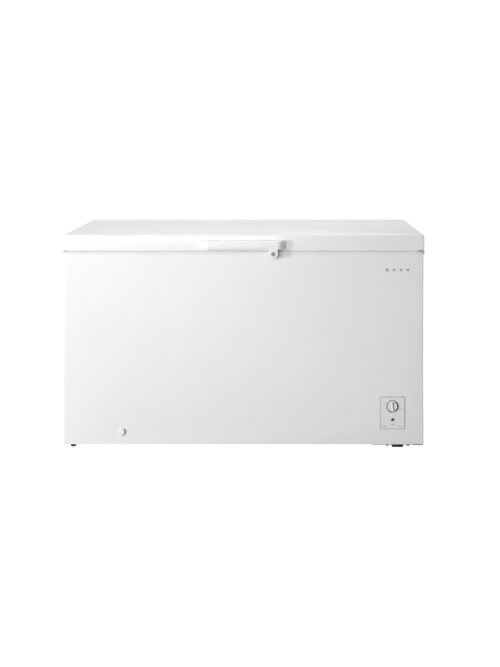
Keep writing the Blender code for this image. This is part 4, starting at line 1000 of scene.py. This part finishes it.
def basket(side):
    """A coated wire basket: heavy rims, hanging ends and fine wires in both directions."""
    node = f"basket_{side}"
    low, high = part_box(node)
    wing, lower = 0.015, 0.010
    thick, fine = 0.0025, 0.0014
    x0, x1 = low.x + thick, high.x - thick
    y0, y1 = low.y + wing + thick, high.y - wing - thick
    z1, z0 = high.z - 0.0022, low.z + thick
    belt_z = z1 - 0.055
    heavy = [bend(rectangle(x0, y0, x1, y1, z1), 0.022, 6, True),
             bend(rectangle(x0, y0, x1, y1, belt_z), 0.022, 6, True),
             bend(rectangle(x0 + lower, y0 + lower, x1 - lower, y1 - lower, z0), 0.018, 6, True)]
    for y, out in ((y0, -wing + 0.001), (y1, wing - 0.001)):
        for a, b in ((x0 + 0.045, x0 + 0.120), (x1 - 0.120, x1 - 0.045)):
            heavy.append(bend([(a, y, z1), (a, y + out, z1), (b, y + out, z1), (b, y, z1)], 0.006, 4))
    wires(f"basket_{side}_frame", heavy, thick, COATED_WIRE, node, node,
          closed=(0, 1, 2), sides=3)
    runs = []
    step = fine + thick
    floor_z = z0 + step
    cross_wires, long_wires = 11, 17
    for k in range(1, cross_wires):
        x = x0 + (x1 - x0) * k / cross_wires
        runs.append(bend([(x, y0 + step, z1), (x, y0 + step, belt_z), (x, y0 + lower + step, floor_z),
                          (x, y1 - lower - step, floor_z), (x, y1 - step, belt_z), (x, y1 - step, z1)],
                         0.012, 4))
    floor_z = z0 + step + 2 * fine
    for k in range(1, long_wires):
        y = y0 + (y1 - y0) * k / long_wires
        runs.append(bend([(x0 + step, y, z1), (x0 + step, y, belt_z), (x0 + lower + step, y, floor_z),
                          (x1 - lower - step, y, floor_z), (x1 - step, y, belt_z), (x1 - step, y, z1)],
                         0.012, 4))
    for level in (0.25, 0.5, 0.75):
        z = z0 + (belt_z - z0) * level
        inset = lower * (1 - level) + step + 2 * fine
        runs.append(bend(rectangle(x0 + inset, y0 + inset, x1 - inset, y1 - inset, z), 0.018, 5, True))
    wires(f"basket_{side}_wires", runs, fine, COATED_WIRE, node,
          closed=(len(runs) - 3, len(runs) - 2, len(runs) - 1), sides=1)


# ---------------------------------------------------------------------------
# CAD nodes that keep their shape: smooth shading and a finish
# ---------------------------------------------------------------------------


def shading_fix():
    """Merges a CAD node's loose triangles and shades it smooth up to an angle."""
    tree = bpy.data.node_groups.new("joined and smoothed", "GeometryNodeTree")
    tree.interface.new_socket("Geometry", in_out="INPUT", socket_type="NodeSocketGeometry")
    tree.interface.new_socket("Geometry", in_out="OUTPUT", socket_type="NodeSocketGeometry")
    start, end = tree.nodes.new("NodeGroupInput"), tree.nodes.new("NodeGroupOutput")
    join = tree.nodes.new("GeometryNodeMergeByDistance")
    join.inputs["Distance"].default_value = 2e-6
    faces = tree.nodes.new("GeometryNodeSetShadeSmooth")
    edges = tree.nodes.new("GeometryNodeSetShadeSmooth")
    edges.domain = "EDGE"
    angle = tree.nodes.new("GeometryNodeInputMeshEdgeAngle")
    below = tree.nodes.new("FunctionNodeCompare")
    below.data_type, below.operation = "FLOAT", "LESS_THAN"
    below.inputs[1].default_value = math.radians(35)
    tree.links.new(start.outputs[0], join.inputs["Geometry"])
    tree.links.new(join.outputs[0], faces.inputs["Geometry"])
    tree.links.new(faces.outputs[0], edges.inputs["Geometry"])
    tree.links.new(angle.outputs["Unsigned Angle"], below.inputs[0])
    tree.links.new(below.outputs[0], edges.inputs["Shade Smooth"])
    tree.links.new(edges.outputs[0], end.inputs[0])
    return tree


KEPT = {
    "base_panel": ZINC_SHEET, "machine_bulkhead": ZINC_SHEET, "insulation_foam": FOAM, "lid_foam": FOAM,
    "inner_liner": WELL_METAL, "evaporator_coil": BRIGHT_TUBE, "condenser_coil": DARK_TUBE,
    "compressor": SHELL_BLACK, "relay_cover": DARK_PLASTIC, "filter_drier": COPPER, "suction_line": COPPER,
    "discharge_line": COPPER, "capillary_tube": COPPER, "thermostat_bulb": COPPER,
    "thermostat_body": COVER_PLASTIC, "wire_harness": DARK_PLASTIC, "supply_lead": DARK_PLASTIC,
    "drain_tube": COVER_PLASTIC,
    "grommet_front_left": BLACK_RUBBER, "grommet_front_right": BLACK_RUBBER,
    "grommet_rear_left": BLACK_RUBBER, "grommet_rear_right": BLACK_RUBBER,
    "lock_cam": SCREW_ZINC, "lock_keeper": SCREW_ZINC,
    "hinge_base_left": ZINC_SHEET, "hinge_base_right": ZINC_SHEET, "hinge_arm_left": ZINC_SHEET,
    "hinge_arm_right": ZINC_SHEET, "hinge_pin_left": SCREW_ZINC, "hinge_pin_right": SCREW_ZINC,
    "hinge_spring_left": DARK_TUBE, "hinge_spring_right": DARK_TUBE,
    "hinge_cover_left": COVER_PLASTIC, "hinge_cover_right": COVER_PLASTIC,
}


def finish_kept_nodes():
    fix = shading_fix()
    for name, finish in KEPT.items():
        obj = NODES[name]
        obj.data.materials.clear()
        obj.data.materials.append(finish)
        obj.modifiers.new("joined and smoothed", "NODES").node_group = fix


def hinge_screws():
    """Three screws hold each hinge arm to the lid, and one holds each cover to the back."""
    for side in ("left", "right"):
        low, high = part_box(f"hinge_arm_{side}")
        x = (low.x + high.x) / 2
        spots = [(x + dx, BACK_FACE + 0.0028, high.z - dz)
                 for dx, dz in ((-0.010, 0.010), (0.010, 0.010), (0.0, 0.024))]
        screws(f"hinge_lid_screws_{side}", 0.0036, spots, "back", "lid")
        low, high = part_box(f"hinge_cover_{side}")
        spot = ((low.x + high.x) / 2, high.y, low.z + 0.018)
        screws(f"hinge_cover_screws_{side}", 0.0034, [spot], "back", "cabinet")


# ---------------------------------------------------------------------------
# Floor, light and camera
# ---------------------------------------------------------------------------


AIR = 0.24              # strength of the even light from all round
WHITE_OUT = 1.05        # what the camera sees beyond the floor
FLOOR_DROP = 0.0005     # the floor lies just under the feet
# name, place, what it points at, width and height, power
LAMPS = (
    ("key softbox", (-5.0, -3.6, 0.85), (0.1, -0.3, 0.7), (0.6, 0.6), 165.0),
    ("front softbox", (-1.1, -4.4, 1.45), (0.0, -0.3, 0.7), (2.8, 1.5), 106.0),
    ("top softbox", (-0.2, 2.2, 3.3), (-0.2, 0.0, 0.8), (3.0, 1.6), 155.0),
    ("side softbox", (3.4, 1.0, 1.5), (0.7, 0.0, 0.5), (1.6, 1.6), 10.0),
)
LENS, FRAME_SIZE, SHIFT = 50.4, (27.0, 36.0), (-0.0474, -0.310)
EYE = (0.1506, FRONT_FACE - 3.69, 1.2777)


def studio():
    """A plain pale floor, even air and four soft lamps."""
    scene = bpy.context.scene
    scene.view_settings.view_transform = "Standard"
    bm = bmesh.new()
    bmesh.ops.create_grid(bm, x_segments=1, y_segments=1, size=40.0)
    mesh = bpy.data.meshes.new("studio_floor")
    bm.to_mesh(mesh)
    bm.free()
    floor = bpy.data.objects.new("studio_floor", mesh)
    floor.location.z = -FLOOR_DROP
    scene.collection.objects.link(floor)
    mat, tree, shader = base_finish("studio floor", (0.6, 0.6, 0.6), 0.8, specular=0.0)
    grain = use(tree, GRAIN, Size=4.0, Detail=2.0, Coarse=1.0)
    tree.links.new(blend_colours(tree, grain.outputs["Patches"], (0.22, 0.22, 0.22), (0.24, 0.24, 0.24)),
                   shader.inputs["Base Color"])
    seen = add_node(tree, "LightPath").outputs["Is Camera Ray"]
    shader.inputs["Emission Color"].default_value = (1, 1, 1, 1)
    tree.links.new(seen, shader.inputs["Emission Strength"])
    mesh.materials.append(mat)
    world = bpy.data.worlds.new("studio air")
    scene.world = world
    world.use_nodes = True
    sky = world.node_tree.nodes["Background"]
    seen = add_node(world.node_tree, "LightPath").outputs["Is Camera Ray"]
    level = add_node(world.node_tree, "MapRange", i0=seen, i3=AIR, i4=WHITE_OUT)
    sky.inputs["Color"].default_value = (1, 1, 1, 1)
    world.node_tree.links.new(level.outputs[0], sky.inputs["Strength"])
    for name, spot, aim, size, power in LAMPS:
        data = bpy.data.lights.new(name, "AREA")
        data.shape, data.size, data.size_y, data.energy = "RECTANGLE", *size, power
        lamp = bpy.data.objects.new(name, data)
        lamp.location = spot
        lamp.rotation_euler = (Vector(aim) - Vector(spot)).to_track_quat("-Z", "Y").to_euler()
        scene.collection.objects.link(lamp)


def camera():
    """A level camera whose shift keeps the upright edges parallel."""
    scene = bpy.context.scene
    data = bpy.data.cameras.new("view")
    data.sensor_fit, (data.sensor_width, data.sensor_height) = "VERTICAL", FRAME_SIZE
    data.lens = LENS
    data.shift_x, data.shift_y = SHIFT
    data.clip_end = 200.0
    cam = bpy.data.objects.new("view", data)
    cam.location = EYE
    cam.rotation_euler = (math.pi / 2, 0, 0)
    scene.collection.objects.link(cam)
    scene.camera = cam


cabinet_wrapper()
frame_collar()
back_sheet()
machine_cover()
side_grille()
feet()
underside()
control_face()
dial()
pilot_light()
snow_mark()
drain_fittings()
lid_shell()
lid_lining()
lid_seal()
handle()
basket("left")
basket("right")
finish_kept_nodes()
hinge_screws()
studio()
camera()
